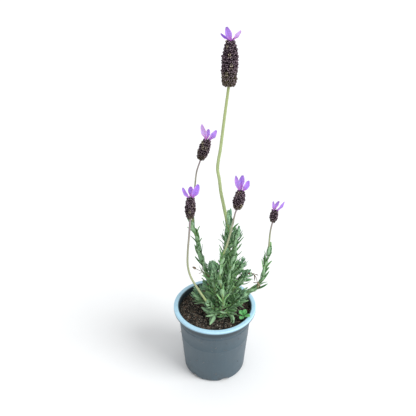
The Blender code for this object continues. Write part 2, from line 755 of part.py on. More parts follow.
def make_seedling(finish, parts):
    """A young weed by the rim: a short stem and two pairs of round leaves."""
    reach = inner_radius(SOIL_TOP) - SEEDLING_FROM_WALL
    way = Vector((math.cos(SEEDLING_ANGLE), math.sin(SEEDLING_ANGLE), 0))
    foot = way * reach + Vector((0, 0, SOIL_TOP + SOIL_ROUGHNESS + GAP))
    up = Vector((0, 0, 1))
    across = up.cross(way)
    stem_side = 1.3 * MM
    node = 1.0 * MM
    drops = (SEEDLING_HEIGHT, 3.2 * node, 2.2 * node, node, 0)
    top = foot + up * SEEDLING_HEIGHT
    sections = [Section(top - up * drop, way, across, stem_side, stem_side) for drop in drops]
    bm = bmesh.new()
    far = start_bar(bm, sections[0], sections[1])
    _, rings = draw_out(bm, far, sections[1:])
    rings = [None] + rings
    for ring, outwards, splay in ((1, (across, -across), 1.1), (3, (way, -way), 0.8)):
        for outward in outwards:
            lower = sections[ring]
            face = face_towards(rings[ring], lower.middle, outward)
            foot = leaf_foot(face, up, outward, stem_side, node)
            leaf = leaf_sections(foot, outward, SEEDLING_LEAF, SEEDLING_LEAF_WIDTH, splay, 0.4)
            leaf[-1].width = 2 * LEAF_TIP
            draw_out(bm, face, leaf)
    return add_object("weed_seedling", mesh_from(bm, "weed_seedling"), finish, parts)


def main():
    clear_scene()
    parts = new_collection("potted_lavender")
    cutters = new_collection("cutters")
    finishes = {
        "pot": material("slate_plastic", (0.105, 0.15, 0.185), 0.55),
        "soil": material("peat", (0.03, 0.018, 0.012), 0.95),
        "wood": material("crown_bark", (0.11, 0.07, 0.04), 0.9),
        "leaf": material("grey_green_leaf", (0.13, 0.25, 0.13), 0.75),
        "stalk": material("flower_stalk_green", (0.28, 0.36, 0.12), 0.6),
        "spike": material("dark_calyx", (0.045, 0.02, 0.04), 0.8),
        "bract": material("violet_bract", (0.42, 0.2, 0.8), 0.6),
        "dead": material("dry_stalk", (0.2, 0.13, 0.07), 0.85),
        "seedling": material("seedling_green", (0.08, 0.5, 0.05), 0.5),
    }
    pot = make_pot(finishes["pot"], parts, cutters)
    soil = make_soil(finishes["soil"], parts, cutters)
    crown = make_crown(finishes["wood"], parts, cutters)
    dead_stalks = make_dead_stalks(finishes["dead"], parts)
    seedling = make_seedling(finishes["seedling"], parts)
    bpy.context.view_layer.update()
    obstacles = {"fixed": [obstacle_from(obj) for obj in (pot, soil, crown, seedling, *dead_stalks)]}
    ends = make_shoots(finishes["leaf"], parts, obstacles)
    make_flowers(ends, finishes, parts)


main()
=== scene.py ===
"""The looks of a Spanish lavender in a nursery pot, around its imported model.

Metres, +Z up. The origin is the middle of the pot's underside and -Y is the front.
"""

import json
import math
import random

import bmesh
import bpy
from mathutils import Matrix, Vector, geometry, noise

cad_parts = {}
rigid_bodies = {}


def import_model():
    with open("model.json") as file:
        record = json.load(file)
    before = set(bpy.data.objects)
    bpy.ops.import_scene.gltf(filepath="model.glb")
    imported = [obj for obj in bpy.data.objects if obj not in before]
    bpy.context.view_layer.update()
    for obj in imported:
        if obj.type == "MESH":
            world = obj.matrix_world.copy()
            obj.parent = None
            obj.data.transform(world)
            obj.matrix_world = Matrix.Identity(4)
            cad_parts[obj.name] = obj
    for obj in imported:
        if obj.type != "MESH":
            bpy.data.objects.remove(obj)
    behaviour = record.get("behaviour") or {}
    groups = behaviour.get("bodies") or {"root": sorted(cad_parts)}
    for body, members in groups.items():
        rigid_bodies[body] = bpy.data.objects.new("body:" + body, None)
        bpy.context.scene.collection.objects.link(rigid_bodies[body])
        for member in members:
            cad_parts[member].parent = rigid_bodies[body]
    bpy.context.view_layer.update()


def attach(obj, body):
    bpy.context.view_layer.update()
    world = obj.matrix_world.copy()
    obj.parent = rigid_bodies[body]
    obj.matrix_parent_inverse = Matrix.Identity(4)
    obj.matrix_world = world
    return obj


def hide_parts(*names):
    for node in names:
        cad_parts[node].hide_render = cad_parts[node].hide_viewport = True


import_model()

MM = 0.001
UP = Vector((0, 0, 1))

# Pot
POT_HEIGHT = 98 * MM
LIP_RADIUS = 52.5 * MM
LIP_OVERHANG = 5.6 * MM
LIP_DROP = 4.6 * MM
LIP_THICKNESS = 1.8 * MM
LIP_ROUND = 2.6 * MM
LIP_EDGE_ROUND = 1.2 * MM
BASE_RADIUS = 39.5 * MM
WALL = 1.3 * MM
FLOOR = 1.6 * MM
CORNER_RADIUS = 4.2 * MM
COLLAR_DEPTH = 9.5 * MM
COLLAR_STEP = 0.6 * MM
BEAD_DROP = 5.5 * MM
BEAD = 0.45 * MM
LOWER_BEAD_DROP = 22 * MM  # below the other bead
LOWER_BEAD = 0.35 * BEAD
DRAIN_HOLES = 6
DRAIN_WIDTH = 13 * MM
DRAIN_HEIGHT = 4.8 * MM
DRAIN_REACH = 6.5 * MM
FIRST_DRAIN_ANGLE = math.radians(-71)
POT_STEPS = 144
# How wide the painted sky reflection on the top of the rim is.
PAINTED_REFLECTION_WIDTH = 4.7 * MM

# Soil and crown
SOIL_TOP = 91 * MM
SOIL_DOME = 0.6 * MM
SOIL_SAG = 1.0 * MM  # at the wall
SOIL_LUMP = 0.9 * MM
SOIL_GAP = 0.15 * MM  # to the pot
SOIL_CORNER = 3 * MM
CROWN_FOOT = Vector((8 * MM, -2 * MM, SOIL_TOP))
CROWN_RADIUS = 9 * MM
CROWN_HEIGHT = 9 * MM
CROWN_DEPTH = 16 * MM

# Leaves
LEAF_LENGTH = 20 * MM  # of the pattern leaf, before it is scaled
LEAF_WIDTH = 4.0 * MM
LEAF_THICKNESS = 0.85 * MM
STEM_FOOT_RADIUS = 1.25 * MM
STEM_TIP_RADIUS = 0.6 * MM
ROUTE_STEP = 0.8 * MM
BARE_FOOT = 3 * MM  # of a leafy stem
TUFT, SLENDER_TUFT = 16 * MM, 3 * MM
TIP_SPACING, SLENDER_TIP_SPACING = 1.5 * MM, 5 * MM
LEAF_CLEARANCE = 1.5 * MM  # over the soil
STALK_FOOT, STALK_TOP = 1.65, 1.2  # how thick a flower stalk is, in radii from its row
TALL_STOUTNESS = 1.25

# Leafy shoots: where each leaves the crown (degrees round it, degrees up), its leaf
# length, and points along it in mm from the middle of the crown at soil level.
SHOOTS = {
    "tall_shoot": (5, 62, 19, [(8, 2, 63), (10, 2, 100), (9, 2, 124)]),
    "left_back_shoot": (112, 58, 17, [(-15, 16, 35), (-26, 25, 67), (-30, 27, 90), (-35, 27, 112)]),
    "left_front_shoot": (212, 30, 15, [(-10, -13, 13), (-16, -18, 25)]),
    "front_shoot": (260, 32, 16, [
        (1, -13, 14), (2, -18, 27), (1, -18, 41), (-2, -18, 63), (-2, -18, 83),
        (2, -18, 103),
    ]),
    "right_shoot": (356, 30, 18, [
        (19, 2, 16), (30, 5, 23), (38, 7, 27), (44, 7, 31), (50, 7, 40), (53, 7, 56),
        (57, 7, 87),
    ]),
    "left_inner_shoot": (215, 58, 18, [(-7, -5, 30), (-10, -7, 52), (-11, -7, 72)]),
    "middle_shoot": (155, 58, 18, [(-5, 6, 30), (-6, 9, 60)]),
    "right_upper_shoot": (58, 58, 17, [(8, 7, 25), (15, 9, 50), (22, 10, 61), (26, 11, 67)]),
    "right_middle_shoot": (20, 32, 17, [(14, 4, 26), (24, 6, 42), (32, 6, 52)]),
    "right_lower_shoot": (332, 30, 17, [(14, -6, 14), (22, -9, 25), (28, -9, 33)]),
    "left_middle_shoot": (138, 30, 17, [(-12, 7, 15), (-20, 10, 30)]),
    "left_lower_shoot": (178, 28, 18, [(-16, 3, 8), (-26, 7, 13), (-31, 9, 18)]),
    "front_trailing_shoot": (284, 28, 17, [(8, -12, 7), (0, -16, 7), (-9, -16, 7.5), (-17, -12, 9)]),
    "drooping_shoot": (236, 26, 19, [(-6, -11, 5), (-10, -18, 4)]),
    "front_right_shoot": (308, 26, 16, [(9, -12, 5), (13, -19, 4)]),
    "back_left_shoot": (104, 30, 18, [(-5, 16, 20), (-11, 25, 38), (-13, 29, 48)]),
    "back_shoot": (74, 30, 18, [(3, 18, 24), (4, 27, 44), (6, 33, 58)]),
    "back_right_shoot": (46, 30, 18, [(12, 15, 20), (18, 23, 36), (21, 27, 47)]),
    "right_tall_shoot": (292, 60, 19, [(7, -5, 40), (12, -6, 80), (16, -5, 108), (18, -5, 122)]),
    "back_tall_shoot": (340, 84, 17, [(3, 6, 60), (5, 9, 95), (7, 9, 114)]),
}

# Bare flower stalks: the shoot each one tops, its radius in mm, and its points.
STALKS = {
    "flower_stalk_1": ("tall_shoot", 1.1, [
        (5, 2, 139), (1, 2, 159), (-2, 2, 175), (-4, 2, 192), (-6, 2, 206), (-3, 2, 230),
        (1, 2, 268), (5, 2, 304),
    ]),
    "flower_stalk_2": ("left_back_shoot", 0.8, [
        (-35, 27, 142), (-32, 27, 169), (-30, 27, 187), (-25, 27, 204),
    ]),
    "flower_stalk_3": ("left_front_shoot", 0.9, [
        (-28, -18, 47), (-38, -18, 69), (-41, -18, 90), (-38, -18, 136), (-37, -18, 152),
    ]),
    "flower_stalk_4": ("front_shoot", 0.8, [
        (5, -18, 113), (10, -18, 136), (14, -18, 158), (16, -18, 165),
    ]),
    "flower_stalk_5": ("right_shoot", 0.8, [(58, 7, 116), (60, 7, 131)]),
}

# Spikes: lean to the right in degrees, length, widest diameter, columns and rows of
# calyces, where it is widest, and how full it is at its foot and at its top.
SPIKES = {
    1: (1.5, 48, 17.4, 11, 12, 0.45, 0.8, 0.42),
    2: (17, 27, 13.8, 8, 7, 0.42, 0.55, 0.55),
    3: (2, 28, 13, 8, 8, 0.45, 0.5, 0.55),
    4: (10, 24.5, 14.2, 8, 7, 0.32, 0.45, 0.5),
    5: (8, 17, 11, 7, 5, 0.42, 0.5, 0.6),
}

# Bracts: where each stands round the top of its spike (degrees), its tip from there in
# mm, its width, the way its flat side faces, how pale it is, how far its sides roll in,
# and how wavy its edge is.
BRACTS = {
    1: [
        (280, -5, -2, 13, 6.5, 262, 0.25, 0.2, 0.5),
        (170, -8.5, 1, 5, 4, 275, 0.1, 0.9, 0.3),
        (20, 8, 1, 8, 5, 268, 0.8, 0.7, 0.9),
    ],
    2: [
        (225, -5.5, -1, 17.5, 6, 268, 0.75, 0.3, 0.7),
        (340, 8, -1, 11, 6.5, 275, 0.3, 0.3, 0.6),
        (90, 1, 4, 9, 5, 90, 0.4, 0.3, 0.5),
    ],
    3: [
        (200, -7, -1, 12, 5, 262, 0.3, 0.4, 0.6),
        (340, 7, -1, 16, 7.5, 272, 0.15, 0.2, 0.6),
        (90, 0, 4, 10, 6, 90, 0.3, 0.2, 0.5),
    ],
    4: [
        (200, -5, -2, 18, 5.5, 262, 0.35, 0.3, 0.5),
        (340, 6, -1, 12, 6.5, 278, 0.2, 0.2, 0.7),
        (90, 1, 3, 16, 6, 90, 0.3, 0.2, 0.6),
    ],
    5: [
        (200, -1.5, -1, 11, 3.5, 265, 0.45, 0.4, 0.5),
        (340, 8, -1, 11, 3.6, 275, 0.3, 0.4, 0.5),
        (90, 4, 2, 9, 4, 90, 0.4, 0.3, 0.5),
    ],
}
BRACT_RING_RADIUS = 1.9 * MM
BRACT_THICKNESS = 0.28 * MM

# Withered stalks: where each leaves the crown, as a shoot does, and its points.
DEAD_STALKS = {
    "dead_stalk_left": (186, 58, [(-8, 2, 30), (-19, 4, 54), (-32, 8, 60)]),
    "dead_stalk_right": (34, 52, [(14, 9, 34), (27, 11, 47), (37, 6, 55), (43, 4, 50), (46, 3, 37)]),
}

SEEDLING_ANGLE = -30
SEEDLING_FROM_WALL = 4.5 * MM
SEEDLING_HEIGHT = 7 * MM

CAMERA_PLACE = (-0.0087, -0.640, 0.6455)
CAMERA_TILT = math.radians(57.9)
CAMERA_LENS = 56.25
WINDOW_DIRECTION = Vector((0.8, -0.42, 0.72))


# --- Node trees ---


def place(tree, kind, inputs=None, **settings):
    """Adds a node, sets its properties, and links or sets its inputs."""
    node = tree.nodes.new(kind)
    for key, value in settings.items():
        setattr(node, key, value)
    for key, value in (inputs or {}).items():
        if isinstance(value, bpy.types.NodeSocket):
            tree.links.new(value, node.inputs[key])
        else:
            node.inputs[key].default_value = value
    return node


def maths(tree, operation, first, second=0.0):
    return place(tree, "ShaderNodeMath", {0: first, 1: second}, operation=operation).outputs[0]


def blend(tree, share, first, second):
    """A colour between two others."""
    inputs = {0: share, 6: first, 7: second}
    return place(tree, "ShaderNodeMix", inputs, data_type="RGBA").outputs[2]


def between(tree, share, first, second):
    """A number between two others."""
    return place(tree, "ShaderNodeMix", {0: share, 2: first, 3: second}).outputs[0]


def remap(tree, value, low, high, new_low=0.0, new_high=1.0):
    inputs = {0: value, 1: low, 2: high, 3: new_low, 4: new_high}
    return place(tree, "ShaderNodeMapRange", inputs).outputs[0]


def shade(tree, colour, amount):
    """A colour made darker or lighter by a factor."""
    inputs = {0: colour, "Scale": amount}
    return place(tree, "ShaderNodeVectorMath", inputs, operation="SCALE").outputs[0]


def cloud(tree, vector, scale, detail=3.0, roughness=0.55):
    inputs = {"Vector": vector, "Scale": scale, "Detail": detail, "Roughness": roughness}
    return place(tree, "ShaderNodeTexNoise", inputs).outputs[0]


def object_coordinates(tree):
    return place(tree, "ShaderNodeTexCoord").outputs["Object"]


def stretched(tree, vector, scale):
    return place(tree, "ShaderNodeMapping", {"Vector": vector, "Scale": scale}).outputs[0]


def attribute(tree, name):
    return place(tree, "ShaderNodeAttribute", attribute_name=name).outputs["Fac"]


def named(tree, title, kind="FLOAT"):
    """A named attribute in a geometry tree."""
    return place(tree, "GeometryNodeInputNamedAttribute", {0: title}, data_type=kind).outputs[0]


def parts_of(tree, collection):
    """A collection's pattern pieces, to be picked one by one."""
    inputs = {"Collection": collection, "Separate Children": True, "Reset Children": True}
    return place(tree, "GeometryNodeCollectionInfo", inputs).outputs[0]


def even_scale(tree, size):
    return place(tree, "ShaderNodeCombineXYZ", {0: size, 1: size, 2: size}).outputs[0]


def joined(tree, *pieces):
    """Geometry joined into one, with its instances made real."""
    join = place(tree, "GeometryNodeJoinGeometry")
    for piece in pieces:
        tree.links.new(piece, join.inputs[0])
    return place(tree, "GeometryNodeRealizeInstances", {0: join.outputs[0]}).outputs[0]


def new_group(name, kind, inputs, outputs):
    """A node group with named inputs and outputs, and its two ends."""
    tree = bpy.data.node_groups.new(name, kind)
    for title, (socket_type, value) in inputs.items():
        socket = tree.interface.new_socket(title, in_out="INPUT", socket_type=socket_type)
        if value is not None:
            socket.default_value = value
    for title, socket_type in outputs.items():
        tree.interface.new_socket(title, in_out="OUTPUT", socket_type=socket_type)
    start = tree.nodes.new("NodeGroupInput").outputs
    end = tree.nodes.new("NodeGroupOutput").inputs
    return tree, start, end


FLOAT, COLOUR, SHAPE = "NodeSocketFloat", "NodeSocketColor", "NodeSocketGeometry"
WHOLE, STUFF, GROUP = "NodeSocketInt", "NodeSocketMaterial", "NodeSocketCollection"
ARROW = "NodeSocketVector"


# --- Shader groups ---


def make_mottle_group():
    """Cloudy light and dark patches over a colour, in two sizes."""
    tree, start, end = new_group(
        "mottle",
        "ShaderNodeTree",
        {
            "Colour": (COLOUR, (0.5, 0.5, 0.5, 1)),
            "Patch Scale": (FLOAT, 60.0),
            "Grain Scale": (FLOAT, 900.0),
            "Depth": (FLOAT, 0.15),
        },
        {"Colour": COLOUR, "Patches": FLOAT, "Grain": FLOAT},
    )
    where = object_coordinates(tree)
    patches = cloud(tree, where, start["Patch Scale"], 4)
    grain = cloud(tree, where, start["Grain Scale"], 3)
    both = maths(tree, "ADD", maths(tree, "MULTIPLY", patches, 0.65), maths(tree, "MULTIPLY", grain, 0.35))
    swing = maths(tree, "MULTIPLY", remap(tree, both, 0.3, 0.7, -1, 1), start["Depth"])
    tree.links.new(shade(tree, start["Colour"], maths(tree, "ADD", swing, 1.0)), end["Colour"])
    tree.links.new(patches, end["Patches"])
    tree.links.new(grain, end["Grain"])
    return tree


def make_dust_group():
    """Specks and smears of dry soil that thicken between two heights."""
    tree, start, end = new_group(
        "soil_dust",
        "ShaderNodeTree",
        {
            "Colour": (COLOUR, (0.5, 0.5, 0.5, 1)),
            "Dust Colour": (COLOUR, (0.12, 0.085, 0.06, 1)),
            "Clean Height": (FLOAT, 0.02),
            "Dusty Height": (FLOAT, 0.0),
            "Amount": (FLOAT, 0.4),
        },
        {"Colour": COLOUR, "Mask": FLOAT},
    )
    where = object_coordinates(tree)
    height = place(tree, "ShaderNodeSeparateXYZ", {0: where}).outputs["Z"]
    near = remap(tree, height, start["Clean Height"], start["Dusty Height"])
    smears = remap(tree, cloud(tree, where, 140.0, 5, 0.7), 0.48, 0.72)
    specks = remap(tree, cloud(tree, where, 900.0, 2), 0.62, 0.7)
    mask = maths(tree, "MULTIPLY", maths(tree, "MAXIMUM", smears, specks), near)
    mask = maths(tree, "MULTIPLY", mask, start["Amount"])
    tree.links.new(blend(tree, mask, start["Colour"], start["Dust Colour"]), end["Colour"])
    tree.links.new(mask, end["Mask"])
    return tree


def make_fibre_group():
    """Fine lines that run along a stalk, with ridges to match."""
    tree, start, end = new_group(
        "fibres",
        "ShaderNodeTree",
        {
            "Colour": (COLOUR, (0.5, 0.5, 0.5, 1)),
            "Line Scale": (FLOAT, 1600.0),
            "Depth": (FLOAT, 0.2),
        },
        {"Colour": COLOUR, "Height": FLOAT},
    )
    along_z = stretched(tree, object_coordinates(tree), (1, 1, 0.06))
    lines = cloud(tree, along_z, start["Line Scale"], 2)
    swing = maths(tree, "MULTIPLY", remap(tree, lines, 0.3, 0.7, -1, 1), start["Depth"])
    tree.links.new(shade(tree, start["Colour"], maths(tree, "ADD", swing, 1.0)), end["Colour"])
    tree.links.new(lines, end["Height"])
    return tree


MOTTLE = make_mottle_group()
DUST = make_dust_group()
FIBRES = make_fibre_group()


def grouped(tree, group, inputs):
    return place(tree, "ShaderNodeGroup", inputs, node_tree=group).outputs


def finish_material(name, **constants):
    """A material with its shader's constants set, its tree and its shader's inputs."""
    made = bpy.data.materials.new(name)
    made.use_nodes = True
    sockets = made.node_tree.nodes["Principled BSDF"].inputs
    for key, value in constants.items():
        sockets[key.replace("_", " ").title().replace("Ior", "IOR")].default_value = value
    return made, made.node_tree, sockets


def connect(tree, sockets, colour, roughness=None, height=None, strength=0.3, distance=0.2 * MM):
    """Feeds a shader its colour, its roughness and a bump."""
    tree.links.new(colour, sockets["Base Color"])
    if roughness is not None:
        tree.links.new(roughness, sockets["Roughness"])
    if height is not None:
        inputs = {"Strength": strength, "Distance": distance, "Height": height}
        tree.links.new(place(tree, "ShaderNodeBump", inputs).outputs[0], sockets["Normal"])


def slate_plastic():
    """Slate plastic with a painted sky reflection on the top of its rim, a painted shadow under the rim,
    faint moulding streaks, scuffs and dried soil.
    """
    made, tree, sockets = finish_material("slate_plastic", coat_weight=0.12, coat_roughness=0.35)
    where = object_coordinates(tree)
    height = place(tree, "ShaderNodeSeparateXYZ", {0: where}).outputs["Z"]
    flat = place(tree, "ShaderNodeVectorMath", {0: where, 1: (1, 1, 0)}, operation="MULTIPLY").outputs[0]
    radius = place(tree, "ShaderNodeVectorMath", {0: flat}, operation="LENGTH").outputs["Value"]
    # Painted reflection: the top of the rim is mixed to a pale sky blue. This stands in for the sky reflected
    # off its upward face, and the plastic there is the same slate.
    painted_sky_reflection = remap(tree, height, POT_HEIGHT - 3.8 * MM, POT_HEIGHT - 1.2 * MM)
    reflection_from = LIP_RADIUS - PAINTED_REFLECTION_WIDTH
    painted_sky_reflection = maths(tree, "MULTIPLY", painted_sky_reflection, remap(tree, radius, reflection_from - 1.2 * MM, reflection_from))
    # Painted shadow: the band just under the rim is mixed to a darker slate. This stands in for the shadow
    # that the rim casts on the wall.
    painted_rim_shadow = remap(tree, height, POT_HEIGHT - 17 * MM, POT_HEIGHT - 13 * MM)
    wall = blend(tree, painted_rim_shadow, (0.055, 0.090, 0.114, 1), (0.030, 0.050, 0.063, 1))
    colour = blend(tree, painted_sky_reflection, wall, (0.46, 0.72, 0.88, 1))
    body = grouped(tree, MOTTLE, {"Colour": colour, "Patch Scale": 45, "Grain Scale": 700, "Depth": 0.09})
    streaks = cloud(tree, stretched(tree, where, (1, 1, 0.05)), 420.0, 3)
    colour = shade(tree, body["Colour"], remap(tree, streaks, 0.3, 0.7, 0.95, 1.05))
    scuffs = cloud(tree, stretched(tree, where, (0.5, 0.5, 3.0)), 260.0, 4, 0.7)
    scuffed = remap(tree, scuffs, 0.64, 0.72, 0.0, 0.35)
    colour = blend(tree, scuffed, colour, (0.26, 0.35, 0.41, 1))
    inputs = {"Colour": colour, "Clean Height": 22 * MM, "Dusty Height": 1 * MM, "Amount": 0.45}
    dusted = grouped(tree, DUST, inputs)
    roughness = maths(tree, "ADD", remap(tree, body["Patches"], 0.3, 0.7, 0.42, 0.56), dusted["Mask"])
    bump = maths(tree, "ADD", body["Grain"], maths(tree, "MULTIPLY", scuffed, -1.0))
    connect(tree, sockets, dusted["Colour"], roughness, bump, 0.12, 0.15 * MM)
    return made


def peat(name, dark, light):
    """Peaty soil, with each crumb its own tone."""
    made, tree, sockets = finish_material(name, roughness=0.92, specular_ior_level=0.25)
    tint = attribute(tree, "tint")
    clods = cloud(tree, object_coordinates(tree), 380.0, 5, 0.7)
    own_tone = maths(tree, "MULTIPLY", maths(tree, "POWER", tint, 2.2), 0.7)
    share = maths(tree, "ADD", own_tone, remap(tree, clods, 0.45, 0.7, 0.0, 0.4))
    colour = blend(tree, share, dark, light)
    body = grouped(tree, MOTTLE, {"Colour": colour, "Patch Scale": 500, "Grain Scale": 2600, "Depth": 0.5})
    connect(tree, sockets, body["Colour"], None, body["Grain"], 0.8, 0.4 * MM)
    return made


def bark_finish(name, dark, light):
    """Dry bark or wood, with grain along it and pale worn edges."""
    made, tree, sockets = finish_material(name, roughness=0.88, specular_ior_level=0.3)
    tint = attribute(tree, "tint")
    grain = cloud(tree, stretched(tree, object_coordinates(tree), (1, 1, 0.3)), 900.0, 5, 0.7)
    share = maths(tree, "ADD", maths(tree, "MULTIPLY", tint, 0.6), remap(tree, grain, 0.3, 0.72, 0.0, 0.5))
    colour = blend(tree, share, dark, light)
    body = grouped(tree, MOTTLE, {"Colour": colour, "Patch Scale": 260, "Grain Scale": 2200, "Depth": 0.3})
    connect(tree, sockets, body["Colour"], None, grain, 0.9, 0.4 * MM)
    return made


def perlite_finish():
    """Pale mineral grains, each from cream to brown, with pitted sides."""
    made, tree, sockets = finish_material("perlite", roughness=0.85)
    tint = attribute(tree, "tint")
    colour = blend(tree, tint, (0.55, 0.51, 0.43, 1), (0.2, 0.16, 0.12, 1))
    body = grouped(tree, MOTTLE, {"Colour": colour, "Patch Scale": 900, "Grain Scale": 3000, "Depth": 0.22})
    pits = place(tree, "ShaderNodeTexVoronoi", {"Scale": 1800.0}).outputs["Distance"]
    connect(tree, sockets, body["Colour"], None, pits, 0.7, 0.25 * MM)
    return made


def leaf_finish(name, old, fresh, under, tip, head):
    """A downy leaf: a sunk pale midrib, rolled pale edges, and its own tone for each."""
    made, tree, sockets = finish_material(
        name, roughness=0.66, sheen_weight=0.15, sheen_roughness=0.45, specular_ior_level=0.3
    )
    tint, youth = attribute(tree, "tint"), attribute(tree, "youth")
    along, across = attribute(tree, "along"), attribute(tree, "across")
    upper = attribute(tree, "upper")
    colour = blend(tree, maths(tree, "POWER", tint, 1.4), old, fresh)
    colour = blend(tree, maths(tree, "MULTIPLY", youth, 0.55), colour, head)
    colour = blend(tree, maths(tree, "MULTIPLY", maths(tree, "SUBTRACT", 1.0, upper), 0.7), colour, under)
    from_middle = maths(tree, "ABSOLUTE", across)
    midrib = maths(tree, "MULTIPLY", remap(tree, from_middle, 0.22, 0.0), 0.35)
    edges = maths(tree, "MULTIPLY", remap(tree, from_middle, 0.75, 1.0), 0.25)
    colour = blend(tree, maths(tree, "MAXIMUM", midrib, edges), colour, under)
    colour = blend(tree, maths(tree, "MULTIPLY", remap(tree, along, 0.8, 1.0), 0.35), colour, tip)
    body = grouped(tree, MOTTLE, {"Colour": colour, "Patch Scale": 420, "Grain Scale": 3200, "Depth": 0.2})
    roughness = remap(tree, body["Grain"], 0.3, 0.7, 0.55, 0.78)
    height = maths(tree, "SUBTRACT", body["Grain"], midrib)
    connect(tree, sockets, body["Colour"], roughness, height, 0.45, 0.2 * MM)
    return made


def stem_finish(name, foot, middle, top, down):
    """A stalk that changes colour from its foot to its top, under a grey down."""
    made, tree, sockets = finish_material(name, roughness=0.62, sheen_weight=0.3, specular_ior_level=0.35)
    age = attribute(tree, "age")
    colour = blend(tree, remap(tree, age, 0.02, 0.3), foot, middle)
    colour = blend(tree, remap(tree, age, 0.5, 0.97), colour, top)
    fibres = grouped(tree, FIBRES, {"Colour": colour, "Line Scale": 1500, "Depth": 0.16})
    patches = remap(tree, cloud(tree, object_coordinates(tree), 1400.0, 3), 0.5, 0.75, 0.0, 0.4)
    colour = blend(tree, patches, fibres["Colour"], down)
    connect(tree, sockets, colour, None, fibres["Height"], 0.5, 0.2 * MM)
    return made


def calyx_finish():
    """Near-black purple calyces with worn grey-lilac rims, olive low on the spike."""
    made, tree, sockets = finish_material("dark_calyx", roughness=0.8, specular_ior_level=0.1)
    tint, age, rim = attribute(tree, "tint"), attribute(tree, "age"), attribute(tree, "rim")
    body = blend(tree, tint, (0.005, 0.002, 0.004, 1), (0.028, 0.013, 0.02, 1))
    low = blend(tree, tint, (0.03, 0.026, 0.012, 1), (0.10, 0.085, 0.04, 1))
    body = blend(tree, remap(tree, age, 0.4, 0.12, 0.0, 0.85), body, low)
    pale = blend(tree, remap(tree, tint, 0.86, 0.96), (0.48, 0.36, 0.42, 1), (0.85, 0.76, 0.55, 1))
    worn = cloud(tree, object_coordinates(tree), 900.0, 3)
    share = maths(tree, "MULTIPLY", remap(tree, rim, 0.35, 1.0), remap(tree, worn, 0.44, 0.56, 0.0, 1.0))
    colour = blend(tree, share, body, pale)
    group = grouped(tree, MOTTLE, {"Colour": colour, "Patch Scale": 800, "Grain Scale": 3500, "Depth": 0.35})
    connect(tree, sockets, group["Colour"], None, group["Grain"], 0.6, 0.25 * MM)
    return made


def bract_finish():
    """Papery violet, paler at its edge, with fine darker veins and a magenta foot."""
    made, tree, sockets = finish_material(
        "violet_bract", roughness=0.55, sheen_weight=0.2, subsurface_weight=0.15, subsurface_scale=1 * MM
    )
    along, across, pale = (attribute(tree, name) for name in ("along", "across", "pale"))
    colour = blend(tree, pale, (0.33, 0.13, 0.78, 1), (0.66, 0.44, 0.76, 1))
    foot = remap(tree, along, 0.42, 0.02, 0.0, 0.85)
    colour = blend(tree, foot, colour, (0.56, 0.10, 0.58, 1))
    edge = remap(tree, maths(tree, "ABSOLUTE", across), 0.6, 1.0, 0.0, 0.45)
    colour = blend(tree, edge, colour, (0.74, 0.55, 0.92, 1))
    inputs = {0: maths(tree, "MULTIPLY", across, 4.2), 1: maths(tree, "MULTIPLY", along, 1.3), 2: pale}
    vein_place = place(tree, "ShaderNodeCombineXYZ", inputs).outputs[0]
    veins = cloud(tree, vein_place, 2.2, 4, 0.6)
    colour = blend(tree, remap(tree, veins, 0.52, 0.68, 0.0, 0.55), colour, (0.2, 0.08, 0.5, 1))
    tip = maths(tree, "MULTIPLY", remap(tree, along, 0.82, 1.0, 0.0, 0.5), remap(tree, pale, 0.5, 0.2))
    colour = blend(tree, tip, colour, (0.19, 0.09, 0.45, 1))
    body = grouped(tree, MOTTLE, {"Colour": colour, "Patch Scale": 600, "Grain Scale": 2800, "Depth": 0.12})
    connect(tree, sockets, body["Colour"], None, veins, 0.4, 0.3 * MM)
    return made


def floor_finish():
    """A clean pale floor."""
    made, tree, sockets = finish_material("pale_floor", roughness=0.9, specular_ior_level=0.1)
    body = grouped(
        tree, MOTTLE, {"Colour": (0.93, 0.93, 0.93, 1), "Patch Scale": 3, "Grain Scale": 40, "Depth": 0.01}
    )
    connect(tree, sockets, body["Colour"])
    return made


# --- Meshes ---


def link(obj):
    bpy.context.scene.collection.objects.link(obj)
    return obj


def closed_mesh(bm, name, finish=None, smooth=True):
    """The mesh of a closed shape, with its doubles merged and its faces turned out."""
    bmesh.ops.remove_doubles(bm, verts=bm.verts, dist=1e-7)
    bmesh.ops.recalc_face_normals(bm, faces=bm.faces)
    mesh = bpy.data.meshes.new(name)
    bm.to_mesh(mesh)
    bm.free()
    if smooth:
        mesh.shade_smooth()
    if finish:
        mesh.materials.append(finish)
    return mesh


def skin(bm, rings, steps):
    """Closes the sides between rings of points. A ring of one point is a pole."""
    for first, second in zip(rings, rings[1:]):
        for i in range(steps):
            j = (i + 1) % steps
            around = [first[i % len(first)], first[j % len(first)]]
            around += [second[j % len(second)], second[i % len(second)]]
            bm.faces.new(list(dict.fromkeys(around)))


def cover(bm, grid, flip=False):
    """The faces of an open sheet of points."""
    for first, second in zip(grid, grid[1:]):
        for i in range(len(first) - 1):
            quad = (first[i], first[i + 1], second[i + 1], second[i])
            bm.faces.new(reversed(quad) if flip else quad)


def applied(obj, name):
    """An object's mesh with its modifiers applied, on an object of its own."""
    graph = bpy.context.evaluated_depsgraph_get()
    mesh = bpy.data.meshes.new_from_object(obj.evaluated_get(graph))
    bpy.data.objects.remove(obj)
    mesh.name = name
    return link(bpy.data.objects.new(name, mesh))


def grown(name, mesh, tree, values):
    """Runs a geometry tree on a mesh and keeps what it makes."""
    source = link(bpy.data.objects.new(name + "_source", mesh))
    modifier = source.modifiers.new("grow", "NODES")
    modifier.node_group = tree
    for item in tree.interface.items_tree:
        if item.in_out == "INPUT" and item.name in values:
            modifier[item.identifier] = values[item.name]
    return applied(source, name)


def store(mesh, name, values):
    made = mesh.attributes.new(name, "FLOAT", "POINT")
    made.data.foreach_set("value", list(values))


